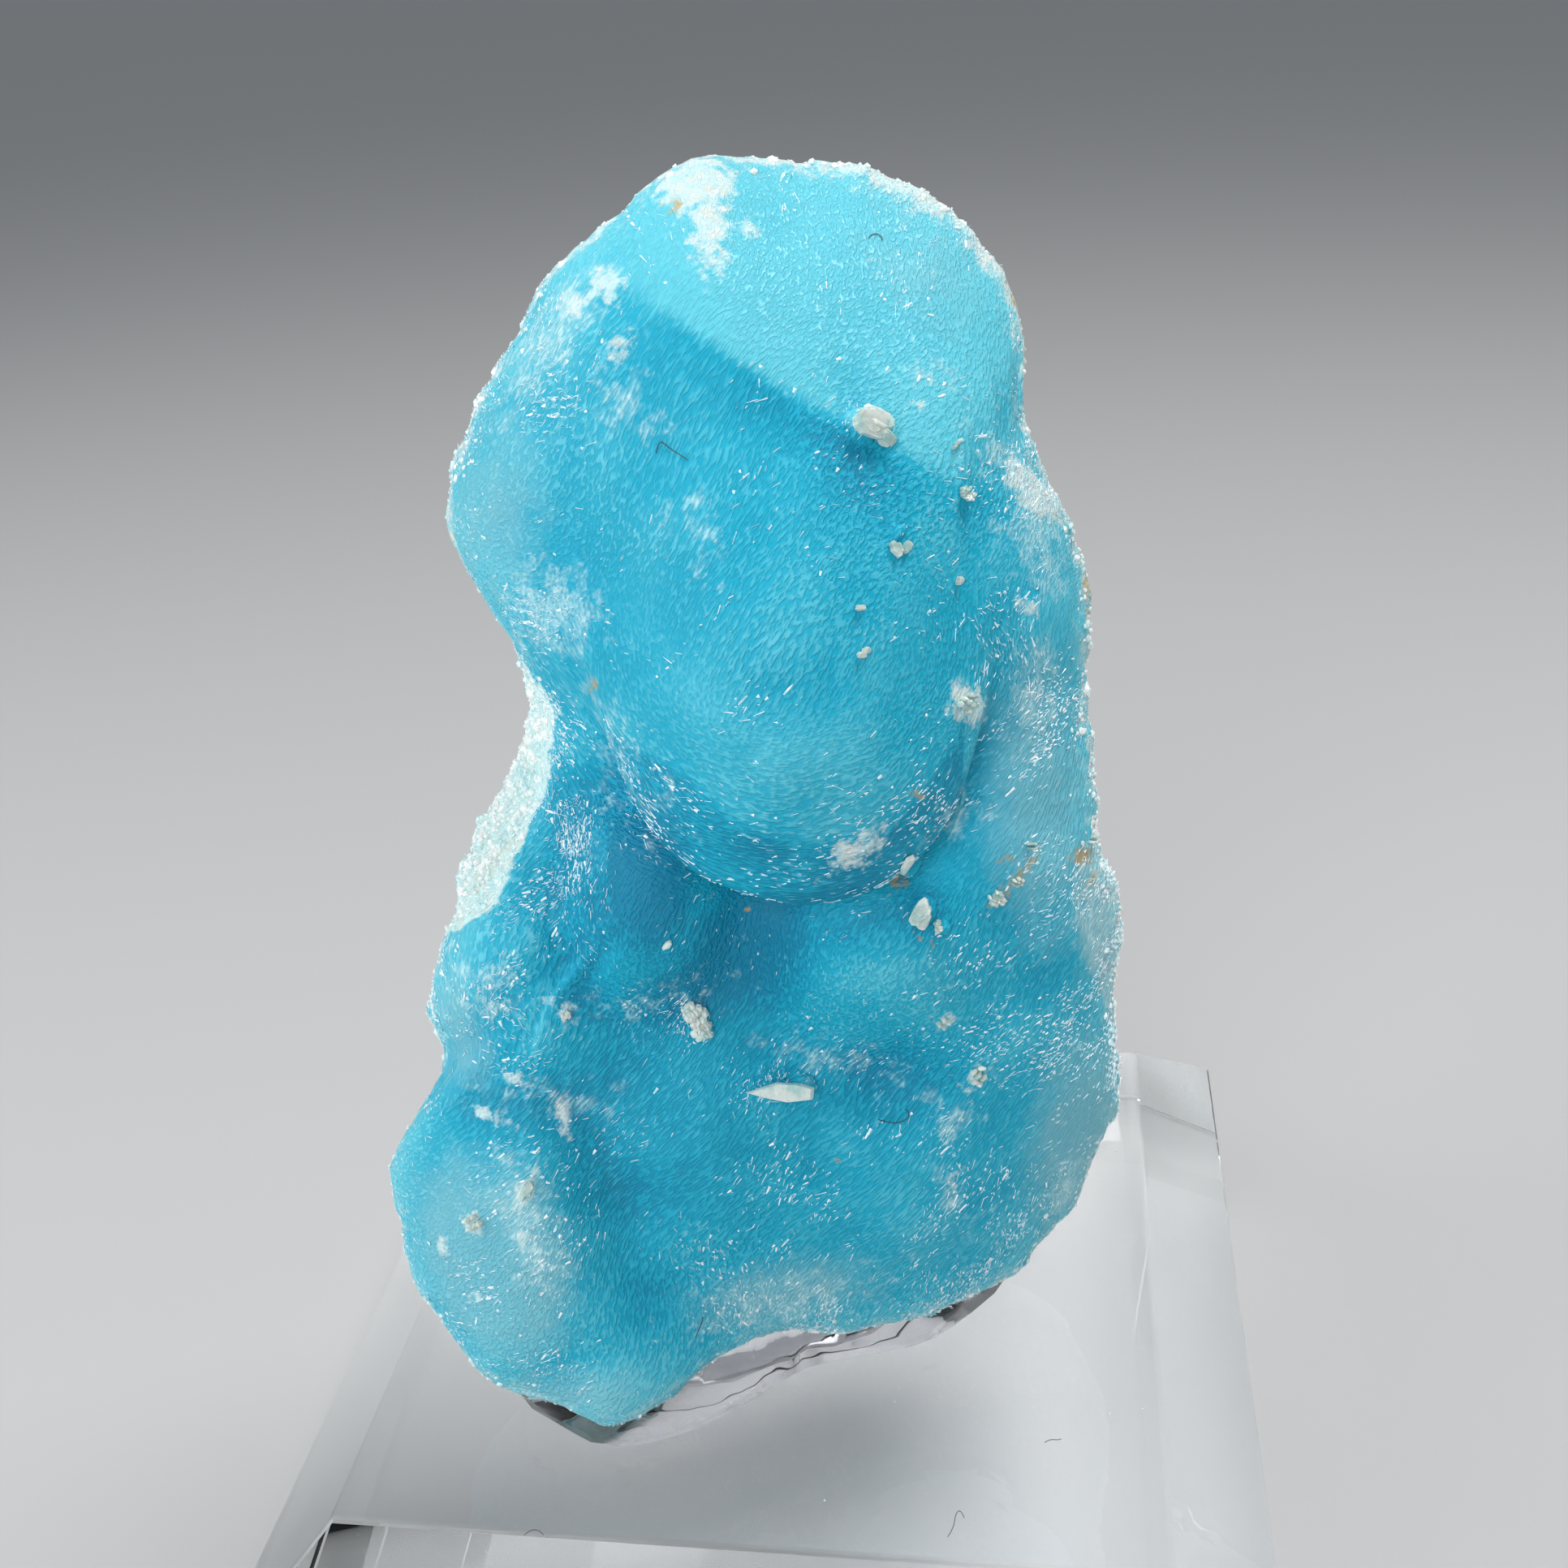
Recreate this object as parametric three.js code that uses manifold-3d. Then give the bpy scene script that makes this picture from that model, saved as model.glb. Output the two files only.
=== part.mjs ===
// A blue botryoidal hemimorphite stood on a clear acrylic block with clear mineral tack.
// Millimetres, +Z up, the origin under the middle of the block, the block square to X and Y.

import * as THREE from "three";
import { mergeVertices } from "three/addons/utils/BufferGeometryUtils.js";
import { ImprovedNoise } from "three/addons/math/ImprovedNoise.js";
import Module from "manifold-3d";

const wasm = await Module();
wasm.setup();
const noise = new ImprovedNoise();

// Acrylic block: a square slab whose top edge is bevelled all round.
const BLOCK_WIDTH = 50;
const BLOCK_HEIGHT = 16;
const BEVEL_INSET = 5.3;
const BEVEL_HEIGHT = 5;

// Specimen: x runs across its face, y up it and z out of it.
const FACE_TILT = 63; // degrees that the face is tipped up from lying flat
const FACE_TURN = 9.4; // degrees that the face is turned about the vertical
const FACE_ORIGIN = [0, -10, BLOCK_HEIGHT];
const HEART = [0.5, 28]; // point on the face that the whole rim can be seen from
const ROWS = 19; // rows of triangles along each side of the sphere's 20 faces
const FRONT_SHARE = 0.66; // share of the triangles that the front gets
const EDGE_POWER = 2.8; // 2 is a round edge, higher is squarer
const RIM_CHIPPING = 0.28;
const RIM_TRIM = 0.25; // the face swells this far past its rim
const FOOT_LEVEL = 16.6; // the foot is worn flat at this height above the table
const TACK_GAP = 0.32;

// The sheet that the rim lies in: its lean, its toe and its lower right corner's swing.
const SHEET_DEPTH = 2;
const SHEET_LEAN = 0.2;
const TOE = { reach: 14, depth: 2.4 };
const SWING = { from: -8, width: 22, top: 26, depth: 8 };

// The broken rim of the face, from the top and clockwise.
const RIM = [
  [3.6, 57.8], [5.9, 57.4], [7.5, 57.3], [9.0, 56.7], [10.5, 55.9], [11.9, 55.5], [12.7, 54.1],
  [14.0, 52.7], [14.6, 51.4], [15.2, 49.2], [14.6, 47.0], [14.6, 45.9], [15.4, 44.0], [17.0, 40.5],
  [17.4, 38.7], [17.5, 36.8], [17.2, 35.2], [17.3, 33.1], [17.5, 29.0], [17.6, 26.7], [18.2, 25.4],
  [19.0, 22.5], [18.6, 19.9], [18.7, 17.7], [19.2, 13.6], [18.8, 12.3], [17.8, 10.8], [17.3, 8.1],
  [14.9, 5.7], [12.6, 3.9], [10.3, 3.3], [8.3, 2.9], [6.0, 2.5], [3.4, 2.9], [0.2, 3.4], [-2.2, 2.5],
  [-4.7, 1.1], [-6.5, 0.2], [-7.7, -0.4], [-8.8, 0.5], [-11.9, 2.1], [-13.9, 3.0], [-15.3, 5.2],
  [-16.7, 7.8], [-17.0, 10.4], [-17.3, 13.1], [-17.1, 14.8], [-15.2, 16.4], [-13.9, 18.8],
  [-14.6, 21.1], [-13.4, 24.3], [-12.1, 28.2], [-10.7, 30.4], [-9.2, 32.6], [-8.3, 35.6],
  [-8.7, 38.0], [-9.7, 39.7], [-10.9, 41.6], [-11.2, 44.1], [-9.9, 47.6], [-8.6, 49.5],
  [-6.7, 52.0], [-5.5, 53.8], [-3.2, 55.2], [-1.6, 56.0], [-0.8, 57.0], [0.3, 57.7], [2.0, 57.9],
];

// Rounded lobes of the face: middle, half width, half height, turn in degrees, rise, blend.
const LOBES = [
  { at: [4.2, 43.6], half: [17.0, 16.0], turn: 0, rise: 9.4, blend: 1.5 }, // upper mass
  { at: [-6.8, 43.0], half: [5.2, 7.6], turn: -14, rise: 6.6, blend: 1.8 }, // left shoulder
  { at: [3.6, 38.2], half: [9.4, 11.2], turn: 3, rise: 11.6, blend: 2.6 }, // hanging bulb
  { at: [13.0, 36.6], half: [5.4, 10.0], turn: 3, rise: 7.0, blend: 2.0 }, // right shoulder
  { at: [13.4, 25.4], half: [6.6, 10.0], turn: -4, rise: 5.6, blend: 2.4 }, // right flank
  { at: [-10.4, 22.4], half: [5.2, 7.0], turn: 8, rise: 5.6, blend: 1.6 }, // left flank
  { at: [-3.4, 26.0], half: [5.0, 6.6], turn: -8, rise: 7.0, blend: 1.0 }, // knuckle under the bulb
  { at: [7.8, 22.6], half: [7.2, 6.2], turn: -12, rise: 7.0, blend: 1.4 }, // brow on the lower right
  { at: [13.2, 15.4], half: [7.0, 8.6], turn: 0, rise: 5.9, blend: 2.4 }, // lower right flank
  { at: [-10.8, 9.8], half: [6.8, 8.8], turn: 12, rise: 7.0, blend: 2.2 }, // lower left knob
  { at: [-0.4, 12.0], half: [8.4, 8.2], turn: 0, rise: 5.6, blend: 2.2 }, // lower middle
  { at: [9.0, 10.8], half: [8.4, 7.2], turn: -10, rise: 6.2, blend: 2.0 }, // lower right
  { at: [-6.8, 3.6], half: [4.8, 4.6], turn: 0, rise: 4.6, blend: 2.0 }, // toe
];
const BULB = LOBES[2];
const LOBE_SQUARE = 2.3; // 2 is an oval plan, higher is squarer
const LOBE_POWER = 0.65; // 0.5 is a round lobe, higher is softer at its foot
const FLOOR_RISE = 4.2; // how far the hollows between the lobes stand out

// The cap: above this line the face slopes away and looks up.
const RIDGE_START = [-0.9, 50.6];
const RIDGE_END = [11.6, 43.2];
const CAP_HEIGHT = 9.0;
const CAP_SLOPE = 0.6;

// Where the skin is broken away along the rim: the line of the break, its side and its drop.
const BREAKS = [
  { line: [[24.6, -13.0], [25.9, -10.2], [30.8, -7.6], [34.6, -6.5], [37.4, -8.6]], side: -1, drop: 1.3 },
  { line: [[17.0, 19.2], [18.4, 17.9], [23.1, 15.8], [26.2, 15.4], [28.0, 17.6]], side: 1, drop: 1.1 },
];

// The bulb hangs: its lower part slumps down over the hollow beneath it.
const SLUMP = 4.6;
const SLUMP_TOP = 52;
const SLUMP_BOTTOM = 34;

// Broken back, deeper towards the foot.
const BACK_RISE = 7.0;
const FOOT_EXTRA = 5.0;
const FOOT_TOP = 22;

// Uneven ground: size across and height of the lumps.
const SWELLS = { size: 3.6, height: 0.32 };
const PIMPLES = { size: 1.9, height: 0.16 };
const HACKLES = { size: 6, height: 2.6 };
const SPLINTERS = { size: 2.6, height: 1.3 };

// Pale crystals and grains that sit on the face: place, half sizes, turn in degrees.
const GRAINS = [
  { at: [7.2, 44.7], half: [0.9, 0.8, 0.7], turn: -20 },
  { at: [8.1, 44.3], half: [0.6, 0.7, 0.6], turn: 30 },
  { at: [11.3, 41.9], half: [0.4, 0.4, 0.5], turn: 0 },
  { at: [8.3, 40.2], half: [0.5, 0.3, 0.4], turn: 45 },
  { at: [8.4, 26.8], half: [0.5, 1.0, 0.5], turn: -25 },
  { at: [8.7, 24.6], half: [0.7, 0.9, 0.6], turn: -30 },
  { at: [9.6, 23.8], half: [0.4, 0.4, 0.4], turn: 10 },
  { at: [-1.7, 20.5], half: [0.7, 0.7, 0.6], turn: 15 },
  { at: [-1.4, 19.6], half: [0.6, 0.7, 0.55], turn: 50 },
  { at: [1.6, 16.6], half: [1.2, 0.55, 0.5], turn: 4 },
  { at: [2.9, 16.7], half: [0.8, 0.6, 0.55], turn: -8 },
];

// Mineral tack: where it meets the block, and how far out it wets the specimen above.
const TACK_FOOT = [
  [-12.7, -11.3], [-9.7, -13.4], [-7.8, -14.3], [-5.6, -14.1], [-3.4, -13.1], [-1.3, -11.5],
  [1.9, -8.6], [5.4, -7.3], [7.8, -6.4], [9.7, -4.6], [11.8, -1.7], [12.2, 1.2], [9.0, 2.4],
  [4.0, 0.8], [-1.0, -2.2], [-7.0, -5.6], [-12.0, -8.4],
];
const TACK_LIP = [
  [-12.0, -13.4], [-9.4, -14.2], [-7.4, -14.9], [-5.6, -14.1], [-4.0, -13.0], [-1.8, -11.5],
  [0.6, -9.9], [3.6, -8.8], [6.0, -7.8], [9.8, -5.2], [12.2, -3.0], [12.4, 0.6], [9.0, 2.2],
  [4.0, 0.6], [-1.0, -2.4], [-7.0, -5.8], [-12.4, -9.0],
];
const TACK_HEART = [0, -6];
const TACK_SIDES = 64;
const TACK_RINGS = 5;
const TACK_RIPPLE = { count: 9, depth: 0.22 };
const TACK_TOP = { middle: 6.0, rise: 0.16, lean: 0.12 }; // how the tack's top slopes to +X and +Y

const COLOURS = { stone: 0x35a9cf, tack: 0xe4eef2, acrylic: 0xf2f5f7 };

const radians = THREE.MathUtils.degToRad;
const smooth = THREE.MathUtils.smoothstep;

/** A closed, merged geometry as a solid for joining and cutting. */
function toSolid(geometry) {
  const bare = geometry.clone();
  bare.deleteAttribute("normal");
  bare.deleteAttribute("uv");
  const merged = mergeVertices(bare, 1e-5);
  return new wasm.Manifold(new wasm.Mesh({
    numProp: 3,
    vertProperties: new Float32Array(merged.attributes.position.array),
    triVerts: new Uint32Array(merged.index.array),
  }));
}

/** A solid as a geometry. */
function toGeometry(solid) {
  const mesh = solid.getMesh();
  const geometry = new THREE.BufferGeometry();
  geometry.setAttribute("position", new THREE.BufferAttribute(mesh.vertProperties, 3));
  geometry.setIndex(new THREE.BufferAttribute(mesh.triVerts, 1));
  return geometry;
}

/** Steps round a closed curve through the points, as polar angle and radius from the heart. */
function polarSteps(points, heart, count) {
  const curve = new THREE.CatmullRomCurve3(
    points.map(([x, y]) => new THREE.Vector3(x - heart[0], y - heart[1], 0)), true, "centripetal");
  return curve.getSpacedPoints(count).map((p) => [Math.atan2(p.y, p.x), Math.hypot(p.x, p.y)]);
}

/** The radius of such a curve in one direction: the outermost crossing. */
function radiusAt(steps, angle) {
  let radius = 0;
  for (let i = 1; i < steps.length; i += 1) {
    const start = wrapTurn(steps[i - 1][0] - angle);
    const end = wrapTurn(steps[i][0] - angle);
    if (start * end <= 0 && Math.abs(start - end) < 1) {
      const part = start === end ? 0 : start / (start - end);
      radius = Math.max(radius, THREE.MathUtils.lerp(steps[i - 1][1], steps[i][1], part));
    }
  }
  return radius;
}

function wrapTurn(angle) {
  return angle - 2 * Math.PI * Math.round(angle / (2 * Math.PI));
}

function blendMax(a, b, width) {
  const part = Math.max(width - Math.abs(a - b), 0) / width;
  return Math.max(a, b) + part * part * width * 0.25;
}

/** Depth of the sheet that the rim lies in: its lower right corner swings back over the block. */
function sheetDepth(x, y) {
  const toe = TOE.depth * Math.max(0, 1 - y / TOE.reach) ** 2;
  const across = Math.max(0, x - SWING.from) / SWING.width;
  const swing = SWING.depth * across ** 1.5 * Math.max(0, 1 - y / SWING.top);
  return SHEET_DEPTH + SHEET_LEAN * y + toe - swing;
}

function lumps({ size, height }, x, y) {
  return height * noise.noise(x / size, y / size, 10 * size);
}

function lobeRise(lobe, x, y) {
  const turn = radians(lobe.turn);
  const dx = x - lobe.at[0];
  const dy = y - lobe.at[1];
  const across = Math.abs(dx * Math.cos(turn) + dy * Math.sin(turn)) / lobe.half[0];
  const up = Math.abs(dy * Math.cos(turn) - dx * Math.sin(turn)) / lobe.half[1];
  return lobe.rise * Math.max(0, 1 - across ** LOBE_SQUARE - up ** LOBE_SQUARE) ** LOBE_POWER;
}

/** How much of a break's drop is reached at x, y. */
function breakShare({ line, side }, x, y) {
  for (let i = 1; i < line.length; i += 1) {
    const [[low, lowX], [high, highX]] = [line[i - 1], line[i]];
    if (y >= low && y < high) {
      const edge = THREE.MathUtils.lerp(lowX, highX, (y - low) / (high - low)) + 0.4 * noise.noise(0, y, 3.3);
      return smooth(side * (x - edge), 0, 0.9);
    }
  }
  return 0;
}

/** How far the face stands out of the rim's sheet, before the edge rounds it off. */
function frontRise(x, y) {
  let rise = FLOOR_RISE;
  for (const lobe of LOBES) rise = blendMax(rise, lobeRise(lobe, x, y), lobe.blend);
  const length = Math.hypot(RIDGE_END[0] - RIDGE_START[0], RIDGE_END[1] - RIDGE_START[1]);
  const above = ((y - RIDGE_START[1]) * (RIDGE_END[0] - RIDGE_START[0])
    - (x - RIDGE_START[0]) * (RIDGE_END[1] - RIDGE_START[1])) / length;
  rise = -blendMax(-rise, CAP_SLOPE * above - CAP_HEIGHT, 0.6);
  for (const broken of BREAKS) rise -= broken.drop * breakShare(broken, x, y);
  return rise + lumps(SWELLS, x, y) + lumps(PIMPLES, x, y);
}

function backRise(x, y) {
  const broken = Math.abs(lumps(HACKLES, x, y)) + Math.abs(lumps(SPLINTERS, x, y));
  return BACK_RISE + FOOT_EXTRA * smooth(FOOT_TOP - y, 0, FOOT_TOP - 2) - broken;
}

const rimSteps = polarSteps(RIM, HEART, 900);

function rimRadius(angle) {
  const chip = noise.noise(6 * Math.cos(angle), 6 * Math.sin(angle), 0.5)
    + 0.8 * noise.noise(17 * Math.cos(angle), 17 * Math.sin(angle), 7.5);
  return radiusAt(rimSteps, angle) - RIM_TRIM + RIM_CHIPPING * chip;
}

/** Moves one point of the unit sphere to the specimen's surface. */
function stonePoint(direction) {
  const rimTurn = Math.acos(1 - 2 * FRONT_SHARE);
  const turn = Math.acos(THREE.MathUtils.clamp(direction.z, -1, 1));
  const front = turn <= rimTurn;
  const part = front ? turn / rimTurn : (Math.PI - turn) / (Math.PI - rimTurn);
  const reach = Math.sin(part * Math.PI / 2);
  const edge = Math.max(0, 1 - reach ** EDGE_POWER) ** (1 / EDGE_POWER);
  const angle = Math.atan2(direction.y, direction.x);
  const radius = rimRadius(angle) * reach;
  const point = new THREE.Vector3(radius * Math.cos(angle), radius * Math.sin(angle), 0);
  point.x += HEART[0];
  point.y += HEART[1];
  const rise = edge * (front ? frontRise(point.x, point.y) : -backRise(point.x, point.y));
  point.z = sheetDepth(point.x, point.y) + rise;
  const hangs = lobeRise(BULB, point.x, point.y);
  point.y -= SLUMP * (front ? smooth(hangs, 2.5, 7.5) * (1 - smooth(point.y, SLUMP_BOTTOM, SLUMP_TOP)) : 0);
  return wearFoot(point);
}

/** Lifts what would reach below the worn foot, along the vertical. */
function wearFoot(point) {
  const upY = Math.sin(radians(FACE_TILT));
  const upZ = Math.cos(radians(FACE_TILT));
  const lift = FOOT_LEVEL - FACE_ORIGIN[2] - point.y * upY - point.z * upZ;
  if (lift > 0) point.add(new THREE.Vector3(0, lift * upY, lift * upZ));
  return point;
}

function makeStone() {
  const bare = new THREE.IcosahedronGeometry(1, ROWS);
  bare.deleteAttribute("normal");
  bare.deleteAttribute("uv");
  const geometry = mergeVertices(bare, 1e-5);
  const place = geometry.attributes.position;
  for (let i = 0; i < place.count; i += 1) {
    const moved = stonePoint(new THREE.Vector3().fromBufferAttribute(place, i));
    place.setXYZ(i, moved.x, moved.y, moved.z);
  }
  return geometry;
}

/** The same skin pushed outward, so that the tack can be cut to meet it. */
function swell(geometry, distance) {
  const grown = geometry.clone();
  grown.computeVertexNormals();
  const place = grown.attributes.position;
  const normal = grown.attributes.normal;
  for (let i = 0; i < place.count; i += 1) {
    place.setXYZ(i, place.getX(i) + distance * normal.getX(i), place.getY(i) + distance * normal.getY(i),
      place.getZ(i) + distance * normal.getZ(i));
  }
  return grown;
}

/** Depth of the face's skin at x, y, from the three points of it that lie nearest. */
function skinDepth(geometry, x, y) {
  const place = geometry.attributes.position;
  const near = [];
  for (let i = 0; i < place.count; i += 1) {
    const away = Math.hypot(place.getX(i) - x, place.getY(i) - y);
    if (away < 3 && place.getZ(i) > sheetDepth(x, y)) near.push([away + 0.01, place.getZ(i)]);
  }
  near.sort((a, b) => a[0] - b[0]);
  const three = near.slice(0, 3);
  const weight = three.reduce((sum, [away]) => sum + 1 / away, 0);
  return three.reduce((sum, [away, depth]) => sum + depth / away, 0) / weight;
}

function makeGrain(grain, skin) {
  const geometry = new THREE.IcosahedronGeometry(1, 0);
  geometry.scale(...grain.half);
  geometry.rotateZ(radians(grain.turn));
  geometry.translate(grain.at[0], grain.at[1], skinDepth(skin, ...grain.at));
  return geometry;
}

function makeTack() {
  const foot = polarSteps(TACK_FOOT, TACK_HEART, 300);
  const lip = polarSteps(TACK_LIP, TACK_HEART, 300);
  const geometry = new THREE.CylinderGeometry(1, 1, 1, TACK_SIDES, TACK_RINGS);
  geometry.rotateX(Math.PI / 2);
  const place = geometry.attributes.position;
  for (let i = 0; i < place.count; i += 1) {
    const up = place.getZ(i) + 0.5;
    const out = Math.hypot(place.getX(i), place.getY(i));
    const angle = Math.atan2(place.getY(i), place.getX(i));
    const flare = up ** 1.5;
    const ripple = TACK_RIPPLE.depth * Math.sin(TACK_RIPPLE.count * angle) * Math.sin(Math.PI * up);
    const radius = out * (THREE.MathUtils.lerp(radiusAt(foot, angle), radiusAt(lip, angle), flare) + ripple);
    const x = TACK_HEART[0] + radius * Math.cos(angle);
    const y = TACK_HEART[1] + radius * Math.sin(angle);
    place.setXYZ(i, x, y, BLOCK_HEIGHT + up * (TACK_TOP.middle + TACK_TOP.rise * x + TACK_TOP.lean * y));
  }
  return geometry;
}

function makeBlock() {
  const geometry = new THREE.BoxGeometry(BLOCK_WIDTH, BLOCK_WIDTH, BLOCK_HEIGHT, 1, 1, 2);
  const place = geometry.attributes.position;
  const inset = 1 - 2 * BEVEL_INSET / BLOCK_WIDTH;
  for (let i = 0; i < place.count; i += 1) {
    const z = place.getZ(i);
    if (z > 1) place.setXYZ(i, place.getX(i) * inset, place.getY(i) * inset, z);
    else if (z > -1) place.setZ(i, BLOCK_HEIGHT / 2 - BEVEL_HEIGHT);
  }
  geometry.translate(0, 0, BLOCK_HEIGHT / 2);
  return geometry;
}

function makeMesh(name, geometry, colour, roughness, opacity = 1) {
  const material = new THREE.MeshStandardMaterial({ color: colour, roughness, metalness: 0, opacity });
  material.transparent = opacity < 1;
  const mesh = new THREE.Mesh(geometry, material);
  mesh.name = name;
  return mesh;
}

const model = new THREE.Group();
model.name = "hemimorphite_specimen";

const skin = makeStone();
let stoneSolid = toSolid(skin);
for (const grain of GRAINS) stoneSolid = stoneSolid.add(toSolid(makeGrain(grain, skin)));

const stand = new THREE.Group();
stand.position.set(...FACE_ORIGIN);
stand.rotation.set(radians(FACE_TILT), 0, radians(FACE_TURN), "ZYX");
stand.add(makeMesh("hemimorphite", toGeometry(stoneSolid), COLOURS.stone, 0.4));
stand.updateMatrixWorld(true);
model.add(stand);

const room = toSolid(swell(skin, TACK_GAP).applyMatrix4(stand.matrixWorld));
const tackSolid = toSolid(makeTack()).subtract(room);
model.add(makeMesh("mineral_tack", toGeometry(tackSolid), COLOURS.tack, 0.1, 0.5));
model.add(makeMesh("acrylic_base", makeBlock(), COLOURS.acrylic, 0.05, 0.4));

export default model;
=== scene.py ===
"""Looks of a blue botryoidal hemimorphite on a clear acrylic block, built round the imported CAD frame.

Lengths are metres in the row frame unless a name ends in _mm. The specimen's own features are
placed in its face frame, in millimetres: u across the face, v up it and w out of it.
"""

import logging
import math
from dataclasses import dataclass
from dataclasses import field
from enum import Enum

import bmesh
import bpy
import numpy as np
from mathutils import Matrix
from mathutils import Vector
from mathutils import noise
from mathutils.bvhtree import BVHTree
from mathutils.kdtree import KDTree

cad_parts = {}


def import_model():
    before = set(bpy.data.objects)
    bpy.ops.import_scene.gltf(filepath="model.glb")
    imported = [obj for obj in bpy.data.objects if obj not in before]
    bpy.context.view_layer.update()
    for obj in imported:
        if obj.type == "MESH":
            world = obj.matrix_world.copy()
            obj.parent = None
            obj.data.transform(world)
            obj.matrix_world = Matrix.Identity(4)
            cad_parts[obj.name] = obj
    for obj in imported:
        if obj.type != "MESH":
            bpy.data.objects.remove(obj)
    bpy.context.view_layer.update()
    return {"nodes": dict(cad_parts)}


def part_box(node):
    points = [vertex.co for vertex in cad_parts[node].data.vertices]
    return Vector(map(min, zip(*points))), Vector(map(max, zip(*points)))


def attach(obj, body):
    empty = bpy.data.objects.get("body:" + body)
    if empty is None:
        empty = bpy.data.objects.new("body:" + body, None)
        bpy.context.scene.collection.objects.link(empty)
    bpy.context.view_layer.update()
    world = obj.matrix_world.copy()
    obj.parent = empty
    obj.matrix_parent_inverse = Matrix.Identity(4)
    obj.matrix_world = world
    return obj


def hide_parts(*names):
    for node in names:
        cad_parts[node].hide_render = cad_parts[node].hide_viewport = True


LOG = logging.getLogger("hemimorphite")
MM = 0.001
BODY = "root"
WELD = 1e-7  # How near loose corners of a CAD mesh lie to be one.


@dataclass(frozen=True)
class FaceFrame:
    """The frame that the specimen's broad face lies in."""

    origin: tuple[float, float, float] = (0.0, -10.0, 16.0)
    tilt: float = 63.0
    turn: float = 9.4

    def axes(self) -> np.ndarray:
        """Returns the face's u, v and w axes as the rows of a matrix."""
        lean = math.radians(90 - self.tilt)
        turn = math.radians(self.turn)
        across = np.array([math.cos(turn), math.sin(turn), 0.0])
        out = np.array([math.sin(turn) * math.cos(lean), -math.cos(turn) * math.cos(lean), math.sin(lean)])
        return np.array([across, np.cross(out, across), out])

    def to_face(self, points: np.ndarray) -> np.ndarray:
        """Turns points of the row frame into face millimetres.

        Args:
            points: One point a row, in metres.

        Returns:
            The same points as u, v, w in millimetres.
        """
        return (points / MM - np.array(self.origin)) @ self.axes().T

    def turn_to_face(self, directions: np.ndarray) -> np.ndarray:
        """Returns directions of the row frame as directions of the face frame."""
        return directions @ self.axes().T

    def turn_to_row(self, directions: np.ndarray) -> np.ndarray:
        """Returns directions of the face frame as directions of the row frame."""
        return directions @ self.axes()


FACE = FaceFrame()


class Graph:
    """A node tree with short calls that add nodes and join them."""

    def __init__(self, tree: bpy.types.NodeTree) -> None:
        """Holds the tree that nodes are added to."""
        self.tree = tree

    def node(self, kind: str, inputs: dict | None = None, **settings: object) -> bpy.types.Node:
        """Adds a node, sets its properties and fills its inputs.

        Args:
            kind: The node's type without the ShaderNode prefix.
            inputs: Values or output sockets, by the input's name or number.
            settings: Properties of the node.

        Returns:
            The new node.
        """
        made = self.tree.nodes.new("ShaderNode" + kind)
        for name, value in settings.items():
            setattr(made, name, value)
        for key, value in (inputs or {}).items():
            self.fill(made.inputs[key], value)
        return made

    def fill(self, socket: bpy.types.NodeSocket, value: object) -> None:
        """Links an output to the socket, or sets the socket's own value."""
        if isinstance(value, bpy.types.NodeSocket):
            self.tree.links.new(value, socket)
        else:
            socket.default_value = value

    def maths(self, operation: str, *values: object, clamp: bool = False) -> bpy.types.NodeSocket:
        """Returns the output of a Math node with these inputs."""
        made = self.node("Math", dict(enumerate(values)), operation=operation, use_clamp=clamp)
        return made.outputs[0]

    def blend(self, share: object, low: object, high: object, mode: str = "MIX") -> bpy.types.NodeSocket:
        """Returns two colours mixed by a share."""
        made = self.node("Mix", {0: share, 6: low, 7: high}, data_type="RGBA", blend_type=mode)
        return made.outputs[2]

    def spread(self, value: object, low: float, high: float) -> bpy.types.NodeSocket:
        """Returns 0 to 1 as the value goes smoothly from low to high."""
        made = self.node("MapRange", {"Value": value, "From Min": low, "From Max": high},
                         interpolation_type="SMOOTHSTEP")
        return made.outputs["Result"]

    def attribute(self, name: str, output: str = "Fac") -> bpy.types.NodeSocket:
        """Returns an output of an Attribute node."""
        return self.node("Attribute", attribute_name=name).outputs[output]

    def millimetres(self) -> bpy.types.NodeSocket:
        """Returns the Object coordinates in millimetres."""
        place = self.node("TexCoord").outputs["Object"]
        return self.node("Mapping", {"Vector": place, "Scale": (1 / MM,) * 3}).outputs["Vector"]

    def mottle(self, place: object, scale: float, detail: float = 2.0,
               roughness: float = 0.5) -> bpy.types.NodeSocket:
        """Returns a noise from 0 to 1 with that many lumps to the millimetre."""
        made = self.node("TexNoise", {"Vector": place, "Scale": scale, "Detail": detail,
                                      "Roughness": roughness})
        return made.outputs["Fac"]


class GroupName(str, Enum):
    """The shader groups that several materials share."""

    RAGGED = "ragged_patch"
    STROKES = "crystal_strokes"
    GRIT = "fine_grit"


def new_group(name: GroupName, inputs: dict[str, str], outputs: dict[str, str]) -> tuple[Graph, dict, dict]:
    """Starts a shader group with named sockets.

    Args:
        name: The group's name.
        inputs: Socket types by input name.
        outputs: Socket types by output name.

    Returns:
        The group's graph, its input sockets by name and its output sockets by name.
    """
    tree = bpy.data.node_groups.new(name.value, "ShaderNodeTree")
    for key, kind in inputs.items():
        tree.interface.new_socket(key, in_out="INPUT", socket_type="NodeSocket" + kind)
    for key, kind in outputs.items():
        tree.interface.new_socket(key, in_out="OUTPUT", socket_type="NodeSocket" + kind)
    start = tree.nodes.new("NodeGroupInput")
    end = tree.nodes.new("NodeGroupOutput")
    return Graph(tree), {k: start.outputs[k] for k in inputs}, {k: end.inputs[k] for k in outputs}


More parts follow.
